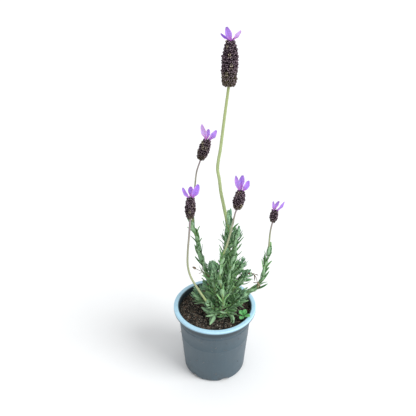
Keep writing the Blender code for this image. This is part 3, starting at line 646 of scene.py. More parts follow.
def settle(obj, slot, *nodes):
    """Hands a finished piece over: it rides on the body and stands for these nodes."""
    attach(obj, "root")
    if nodes:
        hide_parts(*nodes)
    return obj


def arc(middle_radius, middle_height, radius, start, end, steps):
    angles = [math.radians(start + (end - start) * i / steps) for i in range(steps + 1)]
    return [
        (middle_radius + radius * math.cos(angle), middle_height + radius * math.sin(angle))
        for angle in angles
    ]


def turned(name, profile, steps, finish):
    """A solid turned about Z from a profile that starts and ends on the axis."""
    bm = bmesh.new()
    rings = []
    for radius, height in profile:
        if radius == 0:
            rings.append([bm.verts.new((0, 0, height))])
            continue
        angles = [math.tau * i / steps for i in range(steps)]
        rings.append([
            bm.verts.new((radius * math.cos(angle), radius * math.sin(angle), height))
            for angle in angles
        ])
    skin(bm, rings, steps)
    return closed_mesh(bm, name, finish)


def level_way(degrees):
    """The level direction at an angle round +Z."""
    angle = math.radians(degrees)
    return Vector((math.cos(angle), math.sin(angle), 0))


def from_crown(point):
    return CROWN_FOOT + Vector(point) * MM


def smooth_path(points, step):
    """Points about a step apart on a smooth curve through the given ones."""
    ends = [2 * points[0] - points[1], *points, 2 * points[-1] - points[-2]]
    path = []
    for before, start, end, after in zip(ends, ends[1:], ends[2:], ends[3:]):
        steps = max(2, round((end - start).length / step) + 1)
        reach = (end - start).length / 3
        handle_out = start + (end - before).normalized() * reach
        handle_in = end - (after - start).normalized() * reach
        path += geometry.interpolate_bezier(start, handle_out, handle_in, end, steps)[:-1]
    return path + [points[-1]]


def crown_route(round_angle, up_angle, points):
    """A route from the crown's bark through a shoot's points."""
    side, height = math.cos(math.radians(up_angle)), math.sin(math.radians(up_angle))
    across = level_way(round_angle)
    bark = CROWN_FOOT + across * side * CROWN_RADIUS + UP * height * CROWN_HEIGHT
    outward = (across * side / CROWN_RADIUS + UP * height / CROWN_HEIGHT).normalized()
    start = bark - outward * 1 * MM
    return [start, start + outward * 4 * MM] + [from_crown(point) for point in points]


# --- Pot ---


def wall_radius(height):
    share = height / (POT_HEIGHT - LIP_DROP)
    return BASE_RADIUS + (LIP_RADIUS - LIP_OVERHANG - BASE_RADIUS) * share


def inner_radius(height):
    return wall_radius(height) - WALL


def wall_line(top, bottom, offset):
    return [(wall_radius(height) + offset, height) for height in (top, bottom)]


def pot_profile():
    lip_bottom = POT_HEIGHT - LIP_DROP
    collar_bottom = lip_bottom - COLLAR_DEPTH
    bead = collar_bottom - BEAD_DROP
    lip_inside = inner_radius(POT_HEIGHT - LIP_ROUND)
    corner_inside = CORNER_RADIUS - WALL
    foot_inside = inner_radius(CORNER_RADIUS) - corner_inside
    skirt = 0.5 * MM
    beads = []
    for middle, height in ((bead, BEAD), (bead - LOWER_BEAD_DROP, LOWER_BEAD)):
        beads += [
            (wall_radius(middle + share * 2 * BEAD) + height * (1 - share**2), middle + share * 2 * BEAD)
            for share in (1, 0.5, 0, -0.5, -1)
        ]
    return (
        [(0, FLOOR)]
        + arc(foot_inside, FLOOR + corner_inside, corner_inside, -90, 0, 6)
        + arc(lip_inside + LIP_ROUND, POT_HEIGHT - LIP_ROUND, LIP_ROUND, 180, 90, 9)
        + arc(LIP_RADIUS - LIP_EDGE_ROUND, POT_HEIGHT - LIP_EDGE_ROUND, LIP_EDGE_ROUND, 90, 0, 7)
        + arc(LIP_RADIUS - skirt, lip_bottom + skirt, skirt, 0, -180, 6)
        + [(LIP_RADIUS - 2 * skirt, POT_HEIGHT - LIP_THICKNESS)]
        + wall_line(POT_HEIGHT - LIP_THICKNESS, lip_bottom - 0.6 * MM, COLLAR_STEP)
        + wall_line(collar_bottom + 0.3 * MM, collar_bottom, COLLAR_STEP)
        + wall_line(collar_bottom - COLLAR_STEP, bead + 3 * BEAD, 0)
        + beads
        + arc(wall_radius(CORNER_RADIUS) - CORNER_RADIUS, CORNER_RADIUS, CORNER_RADIUS, 0, -90, 8)
        + [(30 * MM, 0), (29.4 * MM, 0.4 * MM), (12 * MM, 0.4 * MM), (11.4 * MM, 0), (0, 0)]
    )


def make_pot(finish):
    """The turned pot with its drain holes arched through the bottom edge."""
    pot = link(bpy.data.objects.new("pot_blank", turned("pot_blank", pot_profile(), POT_STEPS, finish)))
    cutters = []
    radius = DRAIN_WIDTH / 2
    for index in range(DRAIN_HOLES):
        bm = bmesh.new()
        bmesh.ops.create_cone(
            bm, cap_ends=True, segments=28, radius1=radius, radius2=radius, depth=2 * DRAIN_REACH
        )
        angle = FIRST_DRAIN_ANGLE + index * math.tau / DRAIN_HOLES
        flatten = Matrix.Diagonal((2 * DRAIN_HEIGHT / DRAIN_WIDTH, 1, 1, 1))
        lay = Matrix.Rotation(math.radians(90), 4, "Y")
        stand = Matrix.Rotation(angle, 4, "Z") @ Matrix.Translation((BASE_RADIUS, 0, 0))
        bmesh.ops.transform(bm, matrix=stand @ lay @ flatten, verts=bm.verts)
        cutter = link(bpy.data.objects.new(f"drain_{index}", closed_mesh(bm, f"drain_{index}")))
        cutters.append(cutter)
        boolean = pot.modifiers.new("drain", "BOOLEAN")
        boolean.operation = "DIFFERENCE"
        boolean.solver = "EXACT"
        boolean.object = cutter
    pot = applied(pot, "nursery_pot")
    for cutter in cutters:
        bpy.data.objects.remove(cutter)
    pot.data.set_sharp_from_angle(angle=math.radians(40))
    settle(pot, "pot", "pot")


# --- Soil ---


def soil_height(x, y):
    """The lumpy top of the soil, lower at the wall."""
    share = math.hypot(x, y) / inner_radius(SOIL_TOP)
    lumps = noise.fractal(Vector((x, y, 0)) * 160, 0.9, 2.1, 5) * SOIL_LUMP
    return SOIL_TOP + SOIL_DOME * (1 - share**2) - SOIL_SAG * share**4 + lumps * (1 - share**6)


def make_soil_bed(finish):
    """The soil as one closed body: a lumpy top over the pot's inside shape."""
    steps, rings = 120, 46
    top_radius = inner_radius(SOIL_TOP) - SOIL_GAP
    bottom = FLOOR + SOIL_GAP
    bm = bmesh.new()
    levels = [[bm.verts.new((0, 0, soil_height(0, 0)))]]
    for ring in range(1, rings + 1):
        radius = top_radius * ring / rings
        level = []
        for i in range(steps):
            x, y = radius * math.cos(math.tau * i / steps), radius * math.sin(math.tau * i / steps)
            level.append(bm.verts.new((x, y, soil_height(x, y))))
        levels.append(level)
    shoulder = bottom + SOIL_CORNER
    foot = inner_radius(shoulder) - SOIL_GAP
    for radius, height in ((foot, shoulder), (foot - SOIL_CORNER, bottom), (0, bottom)):
        angles = [math.tau * i / steps for i in range(steps if radius else 1)]
        levels.append([bm.verts.new((radius * math.cos(a), radius * math.sin(a), height)) for a in angles])
    skin(bm, levels, steps)
    mesh = closed_mesh(bm, "soil_bed", finish)
    store(mesh, "tint", [0.2 + 0.5 * noise.noise(point.co * 700) for point in mesh.vertices])
    return settle(link(bpy.data.objects.new("soil_bed", mesh)), "soil", "soil")


def lumpy_grain(name, shape, roughness, seed):
    """A small irregular grain about 1 mm long, squashed to a shape."""
    bm = bmesh.new()
    bmesh.ops.create_icosphere(bm, subdivisions=1, radius=0.5 * MM)
    source = random.Random(seed)
    for vert in bm.verts:
        vert.co *= 1 + source.uniform(-roughness, roughness)
        vert.co = Vector((vert.co.x * shape[0], vert.co.y * shape[1], vert.co.z * shape[2]))
    return bpy.data.objects.new(name, closed_mesh(bm, name, smooth=False))


def gathered(name, objects):
    """A collection of pattern pieces that a tree picks from."""
    made = bpy.data.collections.new(name)
    bpy.context.scene.collection.children.link(made)
    for obj in objects:
        made.objects.link(obj)
    return made


def discard(collection):
    for obj in list(collection.objects):
        bpy.data.objects.remove(obj)
    bpy.data.collections.remove(collection)


def random_number(tree, low, high, seed, offset):
    """A seeded random number for each element."""
    inputs = {2: low, 3: high, "Seed": maths(tree, "ADD", seed, float(offset))}
    return place(tree, "FunctionNodeRandomValue", inputs, data_type="FLOAT").outputs[1]


def make_scatter_tree():
    """Strews grains over the part of a surface that lies high enough and faces up."""
    tree, start, end = new_group(
        "strewn_grains",
        "GeometryNodeTree",
        {
            "Ground": (SHAPE, None),
            "Grains": (GROUP, None),
            "Per Square Metre": (FLOAT, 100000.0),
            "Lowest Ground": (FLOAT, 0.0),
            "Smallest": (FLOAT, 0.5),
            "Largest": (FLOAT, 1.5),
            "Lift": (FLOAT, 0.0),
            "Tilt": (FLOAT, 3.0),
            "Seed": (WHOLE, 0),
            "Finish": (STUFF, None),
        },
        {"Strewn": SHAPE},
    )
    spot = place(tree, "GeometryNodeInputPosition").outputs[0]
    height = place(tree, "ShaderNodeSeparateXYZ", {0: spot}).outputs["Z"]
    normal = place(tree, "GeometryNodeInputNormal").outputs[0]
    facing = place(tree, "ShaderNodeSeparateXYZ", {0: normal}).outputs["Z"]
    high = maths(tree, "GREATER_THAN", height, start["Lowest Ground"])
    chosen = maths(tree, "MULTIPLY", high, maths(tree, "GREATER_THAN", facing, 0.3))
    inputs = {
        "Mesh": start["Ground"], "Selection": chosen,
        "Density": start["Per Square Metre"], "Seed": start["Seed"],
    }
    points = place(tree, "GeometryNodeDistributePointsOnFaces", inputs).outputs["Points"]
    seed = start["Seed"]
    lift = place(tree, "ShaderNodeCombineXYZ", {2: start["Lift"]}).outputs[0]
    points = place(tree, "GeometryNodeSetPosition", {"Geometry": points, "Offset": lift}).outputs[0]
    back = maths(tree, "MULTIPLY", start["Tilt"], -1.0)
    tilts = [random_number(tree, back, start["Tilt"], seed, i) for i in (1, 2)]
    turn = random_number(tree, 0.0, math.tau, seed, 3)
    euler = place(tree, "ShaderNodeCombineXYZ", {0: tilts[0], 1: tilts[1], 2: turn}).outputs[0]
    size = random_number(tree, 0.0, 1.0, seed, 4)
    size = between(tree, maths(tree, "POWER", size, 2.2), start["Smallest"], start["Largest"])
    inputs = {
        "Points": points, "Instance": parts_of(tree, start["Grains"]), "Pick Instance": True,
        "Instance Index": random_number(tree, 0.0, 100.0, seed, 5),
        "Rotation": place(tree, "FunctionNodeEulerToRotation", {0: euler}).outputs[0],
        "Scale": even_scale(tree, size),
    }
    grains = place(tree, "GeometryNodeInstanceOnPoints", inputs).outputs[0]
    tint = random_number(tree, 0.0, 1.0, seed, 6)
    inputs = {"Geometry": grains, "Name": "tint", "Value": tint}
    grains = place(tree, "GeometryNodeStoreNamedAttribute", inputs, domain="INSTANCE").outputs[0]
    grains = place(tree, "GeometryNodeRealizeInstances", {0: grains}).outputs[0]
    grains = place(tree, "GeometryNodeSetMaterial", {0: grains, "Material": start["Finish"]}).outputs[0]
    tree.links.new(grains, end[0])
    return tree


def make_strewn_soil(bed, finishes):
    """Peat crumbs, bark chips, pale mineral grains and root fibres on the soil."""
    tree = make_scatter_tree()
    crumbs = [lumpy_grain(f"crumb_{i}", (1, 0.8 + 0.1 * i, 0.7), 0.3, i) for i in range(4)]
    chips = [lumpy_grain(f"chip_{i}", (1.6 + 0.3 * i, 0.8, 0.35), 0.28, 10 + i) for i in range(4)]
    grits = [lumpy_grain(f"grit_{i}", (1, 0.85, 0.75), 0.18, 20 + i) for i in range(3)]
    threads = [lumpy_grain(f"thread_{i}", (5 + 2 * i, 0.28, 0.28), 0.25, 30 + i) for i in range(3)]
    strewn = (
        ("peat_crumbs", crumbs, 530000, 0.6, 2.6, 0.1, 3.0, finishes["crumb"], 1),
        ("bark_chips", chips, 90000, 0.7, 2.3, 0.35, 0.5, finishes["chip"], 2),
        ("mineral_grains", grits, 42000, 0.3, 2.1, 0.35, 3.0, finishes["perlite"], 3),
        ("root_fibres", threads, 30000, 0.5, 1.3, 0.45, 0.25, finishes["fibre"], 4),
    )
    # density in grains per square metre, sizes in mm, lift over the soil in mm, tilt in radians
    for name, patterns, density, smallest, largest, lift, tilt, finish, seed in strewn:
        collection = gathered(name + "_patterns", patterns)
        values = {
            "Grains": collection, "Per Square Metre": float(density),
            "Lowest Ground": SOIL_TOP - 4 * MM,  # only on the bed's top
            "Smallest": smallest, "Largest": largest, "Lift": lift * MM, "Tilt": tilt,
            "Seed": seed, "Finish": finish,
        }
        settle(grown(name, bed.data.copy(), tree, values), "soil")
        discard(collection)


def make_crown(finish):
    """The split woody stump that the shoots spring from."""
    angles = [math.radians(angle) for angle in range(6, 91, 6)]
    dome = [
        (CROWN_RADIUS * math.sin(angle), SOIL_TOP + CROWN_HEIGHT * math.cos(angle)) for angle in angles
    ]
    foot = [(CROWN_RADIUS * (1 - 0.3 * i / 6), SOIL_TOP - CROWN_DEPTH * i / 6) for i in range(1, 7)]
    profile = [(0, SOIL_TOP + CROWN_HEIGHT)] + dome + foot + [(0, SOIL_TOP - CROWN_DEPTH)]
    mesh = turned("woody_crown", profile, 64, finish)
    for point in mesh.vertices:
        spot = point.co.copy()
        angle = math.atan2(spot.y, spot.x)
        ridges = noise.fractal(Vector((math.cos(angle) * 3, math.sin(angle) * 3, spot.z * 60)), 1, 2, 4)
        push = 1 + 0.07 * ridges + 0.04 * noise.noise(spot * 900)
        point.co = Vector((spot.x * push, spot.y * push, spot.z)) + Vector((CROWN_FOOT.x, CROWN_FOOT.y, 0))
    store(mesh, "tint", [0.5 + 0.5 * noise.noise(point.co * 400) for point in mesh.vertices])
    settle(link(bpy.data.objects.new("crown_stump", mesh)), "bark", "woody_crown")


# --- Leaves ---


def leaf_pattern(name, bend, twist, fold, blunt=0.0):
    """A narrow closed leaf from its foot at the origin up Z, with its upper side to +Y.

    It has a sunk midrib, rolled edges, and a bend and a twist along its length.
    """
    rings = 7
    ring_shape = ((-1, -0.45), (-0.6, 0.35), (0, 0.05), (0.6, 0.35), (1, -0.45), (0, -0.75))
    bm = bmesh.new()
    middle, angle = Vector((0, 0, 0)), -0.35 * bend
    made, marks = [], []
    for ring in range(rings + 1):
        share = ring / rings
        outline = math.sin(math.pi * (0.12 + (0.82 - 0.12 * blunt) * share) ** 0.85) ** 0.6
        half = LEAF_WIDTH / 2 * max(outline, 0.12)
        thick = LEAF_THICKNESS / 2 * (0.55 + 0.45 * outline)
        turn = twist * share
        across = Vector((math.cos(turn), math.sin(turn), 0))
        upper = Vector((-math.sin(turn) * 0.6, math.cos(angle), -math.sin(angle))).normalized()
        row = []
        for side, lift in ring_shape:
            spot = middle + across * side * half + upper * (lift * thick - fold * abs(side) * half)
            row.append(bm.verts.new(spot))
            marks.append((share, side, 1.0 if lift > -0.4 else 0.0))
        made.append(row)
        angle += bend / rings
        middle = middle + Vector((0, -math.sin(angle), math.cos(angle))) * LEAF_LENGTH / rings
    skin(bm, made, len(ring_shape))
    bm.faces.new(reversed(made[0]))
    bm.faces.new(made[-1])
    mesh = closed_mesh(bm, name)
    for index, title in enumerate(("along", "across", "upper")):
        store(mesh, title, [mark[index] for mark in marks])
    store(mesh, "leafy", [1.0] * len(marks))
    return bpy.data.objects.new(name, mesh)


def make_leaf_patterns():
    """Five leaves, from one that bends out to a blunt one that curls in over the tip."""
    return gathered(
        "leaf_patterns",
        [
            leaf_pattern("leaf_0", 0.55, 0.15, 0.15),
            leaf_pattern("leaf_1", 0.1, -0.2, 0.2),
            leaf_pattern("leaf_2", -0.35, 0.25, 0.2),
            leaf_pattern("leaf_3", -0.95, -0.1, 0.25, 0.6),
            leaf_pattern("leaf_4", -1.5, 0.1, 0.3, 1.0),
        ],
    )


def square_stem(tree, line, width, rounding, steps):
    """A stem swept along a line, square with rounded corners, as thick as "thick" says."""
    line = place(tree, "GeometryNodeMeshToCurve", {0: line}).outputs[0]
    inputs = {"Width": width, "Height": width}
    square = place(tree, "GeometryNodeCurvePrimitiveQuadrilateral", inputs).outputs[0]
    inputs = {"Curve": square, "Radius": rounding, "Count": steps}
    square = place(tree, "GeometryNodeFilletCurve", inputs, mode="POLY").outputs[0]
    inputs = {"Curve": line, "Profile Curve": square, "Scale": named(tree, "thick"), "Fill Caps": True}
    return place(tree, "GeometryNodeCurveToMesh", inputs).outputs[0]


def make_leafy_tree():
    """Leaves round a stem, from a line of points that carry where each pair stands."""
    tree, start, end = new_group(
        "leafy_stem",
        "GeometryNodeTree",
        {
            "Line": (SHAPE, None),
            "Leaves": (GROUP, None),
            "Leaves at a Place": (WHOLE, 4),
            "Leaf Size": (FLOAT, 1.0),
            "Side Leaf Size": (FLOAT, 0.6),
            "Tip Leaf Size": (FLOAT, 0.5),
            "Splay": (FLOAT, 0.8),
            "Tip Splay": (FLOAT, 0.4),
            "Incurve": (FLOAT, 0.0),
            "Breadth": (FLOAT, 1.0),
            "Lowest Tip": (FLOAT, 0.0),
            "Seed": (WHOLE, 0),
            "Leaf Finish": (STUFF, None),
            "Stem Finish": (STUFF, None),
        },
        {"Shoot": SHAPE},
    )
    seed = start["Seed"]
    is_place = maths(tree, "GREATER_THAN", named(tree, "place"), -0.5)
    inputs = {"Mesh": start["Line"], "Selection": is_place}
    points = place(tree, "GeometryNodeMeshToPoints", inputs).outputs[0]
    inputs = {"Geometry": points, "Amount": start["Leaves at a Place"]}
    copied = place(tree, "GeometryNodeDuplicateElements", inputs, domain="POINT")
    copy = copied.outputs["Duplicate Index"]
    beside = maths(tree, "GREATER_THAN", copy, 1.5)  # past the pair, a smaller leaf
    youth = named(tree, "youth")
    opposite = maths(tree, "ADD", maths(tree, "MULTIPLY", copy, 2.0), beside)
    quarter = maths(tree, "ADD", named(tree, "place"), opposite)
    turn = maths(tree, "MULTIPLY", quarter, math.pi / 2)
    turn = maths(tree, "ADD", turn, random_number(tree, -0.4, 0.4, seed, 1))
    splay = between(tree, youth, start["Splay"], start["Tip Splay"])
    splay = maths(tree, "MULTIPLY", splay, random_number(tree, 0.55, 1.4, seed, 2))
    size = between(tree, youth, 1.0, start["Tip Leaf Size"])
    size = maths(tree, "MULTIPLY", size, between(tree, beside, 1.0, start["Side Leaf Size"]))
    size = maths(tree, "MULTIPLY", size, random_number(tree, 0.8, 1.15, seed, 3))
    size = maths(tree, "MULTIPLY", size, start["Leaf Size"])
    inputs = {"Vector": named(tree, "heading", "FLOAT_VECTOR")}
    rotation = place(tree, "FunctionNodeAlignRotationToVector", inputs, axis="Z").outputs[0]
    for euler in ({2: turn}, {0: splay, 2: random_number(tree, -0.25, 0.25, seed, 4)}):
        vector = place(tree, "ShaderNodeCombineXYZ", euler).outputs[0]
        inputs = {0: rotation, 1: place(tree, "FunctionNodeEulerToRotation", {0: vector}).outputs[0]}
        rotation = place(tree, "FunctionNodeRotateRotation", inputs, rotation_space="LOCAL").outputs[0]
    reach = place(tree, "ShaderNodeCombineXYZ", {2: maths(tree, "MULTIPLY", size, LEAF_LENGTH)}).outputs[0]
    reach = place(tree, "FunctionNodeRotateVector", {0: reach, 1: rotation}).outputs[0]
    spot = place(tree, "GeometryNodeInputPosition").outputs[0]
    tip = place(tree, "ShaderNodeVectorMath", {0: spot, 1: reach}, operation="ADD").outputs[0]
    tip_height = place(tree, "ShaderNodeSeparateXYZ", {0: tip}).outputs["Z"]
    too_low = maths(tree, "LESS_THAN", tip_height, start["Lowest Tip"])
    breadth = maths(tree, "POWER", size, 0.4)
    breadth = maths(tree, "MULTIPLY", breadth, random_number(tree, 0.8, 1.15, seed, 5))
    breadth = maths(tree, "MULTIPLY", breadth, start["Breadth"])
    pattern = random_number(tree, -0.45, 2.45, seed, 6)
    pattern = maths(tree, "ADD", pattern, maths(tree, "MULTIPLY", youth, 2.0))
    pattern = maths(tree, "ADD", pattern, start["Incurve"])
    pattern = maths(tree, "MAXIMUM", maths(tree, "MINIMUM", pattern, 4.45), 0.0)
    inputs = {
        "Points": copied.outputs["Geometry"],
        "Selection": maths(tree, "SUBTRACT", 1.0, too_low),
        "Instance": parts_of(tree, start["Leaves"]),
        "Pick Instance": True,
        "Instance Index": maths(tree, "ROUND", pattern),
        "Rotation": rotation,
        "Scale": place(tree, "ShaderNodeCombineXYZ", {0: breadth, 1: breadth, 2: size}).outputs[0],
    }
    leaves = place(tree, "GeometryNodeInstanceOnPoints", inputs).outputs[0]
    inputs = {"Geometry": leaves, "Name": "tint", "Value": random_number(tree, 0.0, 1.0, seed, 7)}
    leaves = place(tree, "GeometryNodeStoreNamedAttribute", inputs, domain="INSTANCE").outputs[0]
    shoot = joined(tree, leaves, square_stem(tree, start["Line"], 1.8, 0.5, 2))
    leafy = maths(tree, "GREATER_THAN", named(tree, "leafy"), 0.5)
    for finish, chosen in (("Leaf Finish", leafy), ("Stem Finish", maths(tree, "SUBTRACT", 1.0, leafy))):
        inputs = {"Geometry": shoot, "Selection": chosen, "Material": start[finish]}
        shoot = place(tree, "GeometryNodeSetMaterial", inputs).outputs[0]
    tree.links.new(shoot, end[0])
    return tree


def line_mesh(name, path, radii, spacing, tip_spacing, tuft, bare=0.0):
    """A line of points with what the leafy and downy trees read.

    That is the stem's thickness, its heading, its age from foot to tip, its youth (how far
    into the tip's tuft) and the places that carry leaves.
    """
    mesh = bpy.data.meshes.new(name)
    mesh.from_pydata(path, [(i, i + 1) for i in range(len(path) - 1)], [])
    runs = [0.0]
    for first, second in zip(path, path[1:]):
        runs.append(runs[-1] + (second - first).length)
    length = runs[-1]
    ages = [run / length for run in runs]
    youths = [max(0.0, 1 - (length - run) / tuft) for run in runs]
    places, next_run, count = [], bare, 0
    for run, youth in zip(runs, youths):
        if run >= next_run:
            places.append(float(count))
            count += 1
            next_run = run + spacing + (tip_spacing - spacing) * youth**0.5
        else:
            places.append(-1.0)
    places[-1] = float(count)
    store(mesh, "thick", [radii[0] + (radii[1] - radii[0]) * age for age in ages])
    store(mesh, "age", ages)
    store(mesh, "youth", youths)
    store(mesh, "place", places)
    headings = []
    for index in range(len(path)):
        heading = path[min(index + 1, len(path) - 1)] - path[max(index - 1, 0)]
        headings += [*heading.normalized()]
    mesh.attributes.new("heading", "FLOAT_VECTOR", "POINT").data.foreach_set("vector", headings)
    return mesh


# How each shoot is dressed: leaves at a place, the spacing of places in mm, and how far the
# leaves splay out along it and at its tip, in radians. Shoots not named are like "other".
DRESS = {
    "other": (5, 4.8, 0.8, 1.0),
    "tall_shoot": (4, 7.0, 0.6, 0.42),
    "right_tall_shoot": (5, 6.5, 0.55, 0.8),
    "back_tall_shoot": (5, 6.0, 0.55, 0.8),
    "left_back_shoot": (3, 6.5, 0.27, 0.5),
    "front_shoot": (2, 8.0, 0.34, 0.3),
    "right_shoot": (3, 7.5, 0.25, 0.2),
    "left_front_shoot": (3, 5.5, 0.42, 0.3),
    "drooping_shoot": (3, 6.0, 0.4, 0.3),
    "front_right_shoot": (3, 7.0, 0.4, 0.3),
    "front_trailing_shoot": (4, 5.0, 0.55, 0.45),
}
SLENDER = (
    "front_shoot", "left_front_shoot", "right_shoot", "left_back_shoot", "drooping_shoot",
    "front_right_shoot",
)
LEAVES_UP_STALK = 10  # mm that the tall shoot's leaves carry on up its stalk


def make_shoots(tree, leaves, finishes):
    """Every leafy shoot. It gives back where each ends and its heading there."""
    ends = {}
    for seed, (name, (round_angle, up_angle, leaf_length, points)) in enumerate(SHOOTS.items()):
        path = smooth_path(crown_route(round_angle, up_angle, points), ROUTE_STEP)
        end, way = path[-1], (path[-1] - path[-3]).normalized()
        tall, slender = name == "tall_shoot", name in SLENDER
        if tall:
            path = path + [end + way * step * MM for step in range(1, LEAVES_UP_STALK + 1)]
        count, spacing, splay, tip_splay = DRESS.get(name, DRESS["other"])
        tuft = SLENDER_TUFT if slender else TUFT
        tip_spacing = SLENDER_TIP_SPACING if slender else TIP_SPACING
        radii = (STEM_FOOT_RADIUS, STEM_TIP_RADIUS)
        line = line_mesh(name, path, radii, spacing * MM, tip_spacing, tuft, BARE_FOOT)
        values = {
            "Leaves": leaves, "Leaves at a Place": count, "Leaf Size": leaf_length * MM / LEAF_LENGTH,
            "Side Leaf Size": 0.78, "Tip Leaf Size": 0.85 if tall else 0.55,
            "Splay": splay, "Tip Splay": tip_splay,
            "Incurve": 0.1 if slender else 0.5, "Breadth": 1.35 if slender else 1.05,
            "Lowest Tip": SOIL_TOP + LEAF_CLEARANCE, "Seed": seed + 40,
            "Leaf Finish": finishes["leaf"], "Stem Finish": finishes["stem"],
        }
        settle(grown("leafy_" + name, line, tree, values), "leaf", name)
        ends[name] = (end, way)
    return ends


# --- Stalks and flowers ---


def make_downy_tree():
    """A square stalk with rounded corners, and short hairs standing off it."""
    tree, start, end = new_group(
        "downy_stalk",
        "GeometryNodeTree",
        {
            "Line": (SHAPE, None),
            "Hair": (GROUP, None),
            "Hairs per Square Metre": (FLOAT, 1200000.0),
            "Seed": (WHOLE, 0),
            "Finish": (STUFF, None),
        },
        {"Stalk": SHAPE},
    )
    stalk = square_stem(tree, start["Line"], 1.75, 0.55, 3)
    inputs = {"Mesh": stalk, "Density": start["Hairs per Square Metre"], "Seed": start["Seed"]}
    roots = place(tree, "GeometryNodeDistributePointsOnFaces", inputs)
    lean = place(
        tree, "ShaderNodeVectorMath", {0: roots.outputs["Normal"], 1: (0, 0, 0.35)}, operation="ADD"
    ).outputs[0]
    rotation = place(tree, "FunctionNodeAlignRotationToVector", {"Vector": lean}, axis="Z").outputs[0]
    hair = place(tree, "GeometryNodeCollectionInfo", {"Collection": start["Hair"]}).outputs[0]
    size = random_number(tree, 0.5, 1.2, start["Seed"], 1)
    inputs = {
        "Points": roots.outputs["Points"], "Instance": hair, "Rotation": rotation,
        "Scale": even_scale(tree, size),
    }
    whole = joined(tree, place(tree, "GeometryNodeInstanceOnPoints", inputs).outputs[0], stalk)
    whole = place(tree, "GeometryNodeSetMaterial", {0: whole, "Material": start["Finish"]}).outputs[0]
    tree.links.new(whole, end[0])
    return tree


def hair_pattern():
    """One short tapered hair."""
    bm = bmesh.new()
    bmesh.ops.create_cone(
        bm, cap_ends=True, segments=3, radius1=0.07 * MM, radius2=0.015 * MM, depth=0.55 * MM
    )
    bmesh.ops.translate(bm, vec=(0, 0, 0.25 * MM), verts=bm.verts)
    return bpy.data.objects.new("hair", closed_mesh(bm, "hair"))


def make_stalks(ends, finishes):
    """The bare flower stalks, each from the end of its shoot to the foot of its spike."""
    tree = make_downy_tree()
    hair = gathered("hair_pattern", [hair_pattern()])
    for seed, (name, (shoot, radius, points)) in enumerate(STALKS.items()):
        start, heading = ends[shoot]
        route = [start - heading * 1 * MM, start + heading * 2 * MM] + [from_crown(point) for point in points]
        path = smooth_path(route, 2 * MM)
        tall = name == "flower_stalk_1"
        stout = TALL_STOUTNESS if tall else 1
        radii = (STALK_FOOT * stout * radius * MM, STALK_TOP * stout * radius * MM)
        line = line_mesh(name, path, radii, 1, 1, 1)  # its places carry no leaves
        finish = finishes["tall_stalk" if tall else "stalk"]
        values = {"Hair": hair, "Hairs per Square Metre": 900000.0, "Seed": seed, "Finish": finish}
        settle(grown("downy_" + name, line, tree, values), "stalk", name)
    discard(hair)


def spike_frame(number):
    """The foot of a spike and the way that it points."""
    *_, points = STALKS[f"flower_stalk_{number}"]
    lean = math.radians(SPIKES[number][0])
    return from_crown(points[-1]), Vector((math.sin(lean), 0, math.cos(lean)))


def spike_radius(share, widest, belly, foot, top):
    """How wide a spike is at a share of its length: a barrel, fullest at its belly."""
    span, fullness = (belly, foot) if share < belly else (1 - belly, top)
    reach = (share - belly) / span
    return widest * math.sqrt(max(0.0, 1 - (1 - fullness**2) * reach**2))


def spike_core(number):
    """The barrel under the calyces: a face for each calyx, in twisted rows."""
    _, length, width, columns, rows, belly, foot_fullness, top_fullness = SPIKES[number]
    foot, up = spike_frame(number)
    turn = up.to_track_quat("Z", "Y").to_matrix()
    stand_out = 0.73 * math.tau / columns  # how far a calyx reaches, as a share of the core
    widest = width / 2 / (1 + stand_out) * MM
    bm = bmesh.new()
    rings, ages = [], []
    for ring in range(rows + 1):
        share = ring / rows
        radius = spike_radius(share, widest, belly, foot_fullness, top_fullness)
        row = []
        for i in range(columns):
            angle = math.tau * (i + 0.5 * (ring % 2)) / columns
            spot = Vector((radius * math.cos(angle), radius * math.sin(angle), share * (length - 2) * MM))
            row.append(bm.verts.new(foot + turn @ spot))
            ages.append(share)
        rings.append(row)
    for ring, (first, second) in enumerate(zip(rings, rings[1:])):
        shift = ring % 2
        for i in range(columns):
            above, above_next = (i - 1 + shift) % columns, (i + shift) % columns
            bm.faces.new((first[i], first[(i + 1) % columns], second[above_next], second[above]))
    bm.faces.new(reversed(rings[0]))
    bm.faces.new(rings[-1])
    mesh = closed_mesh(bm, f"spike_core_{number}")
    store(mesh, "age", ages)
    return mesh


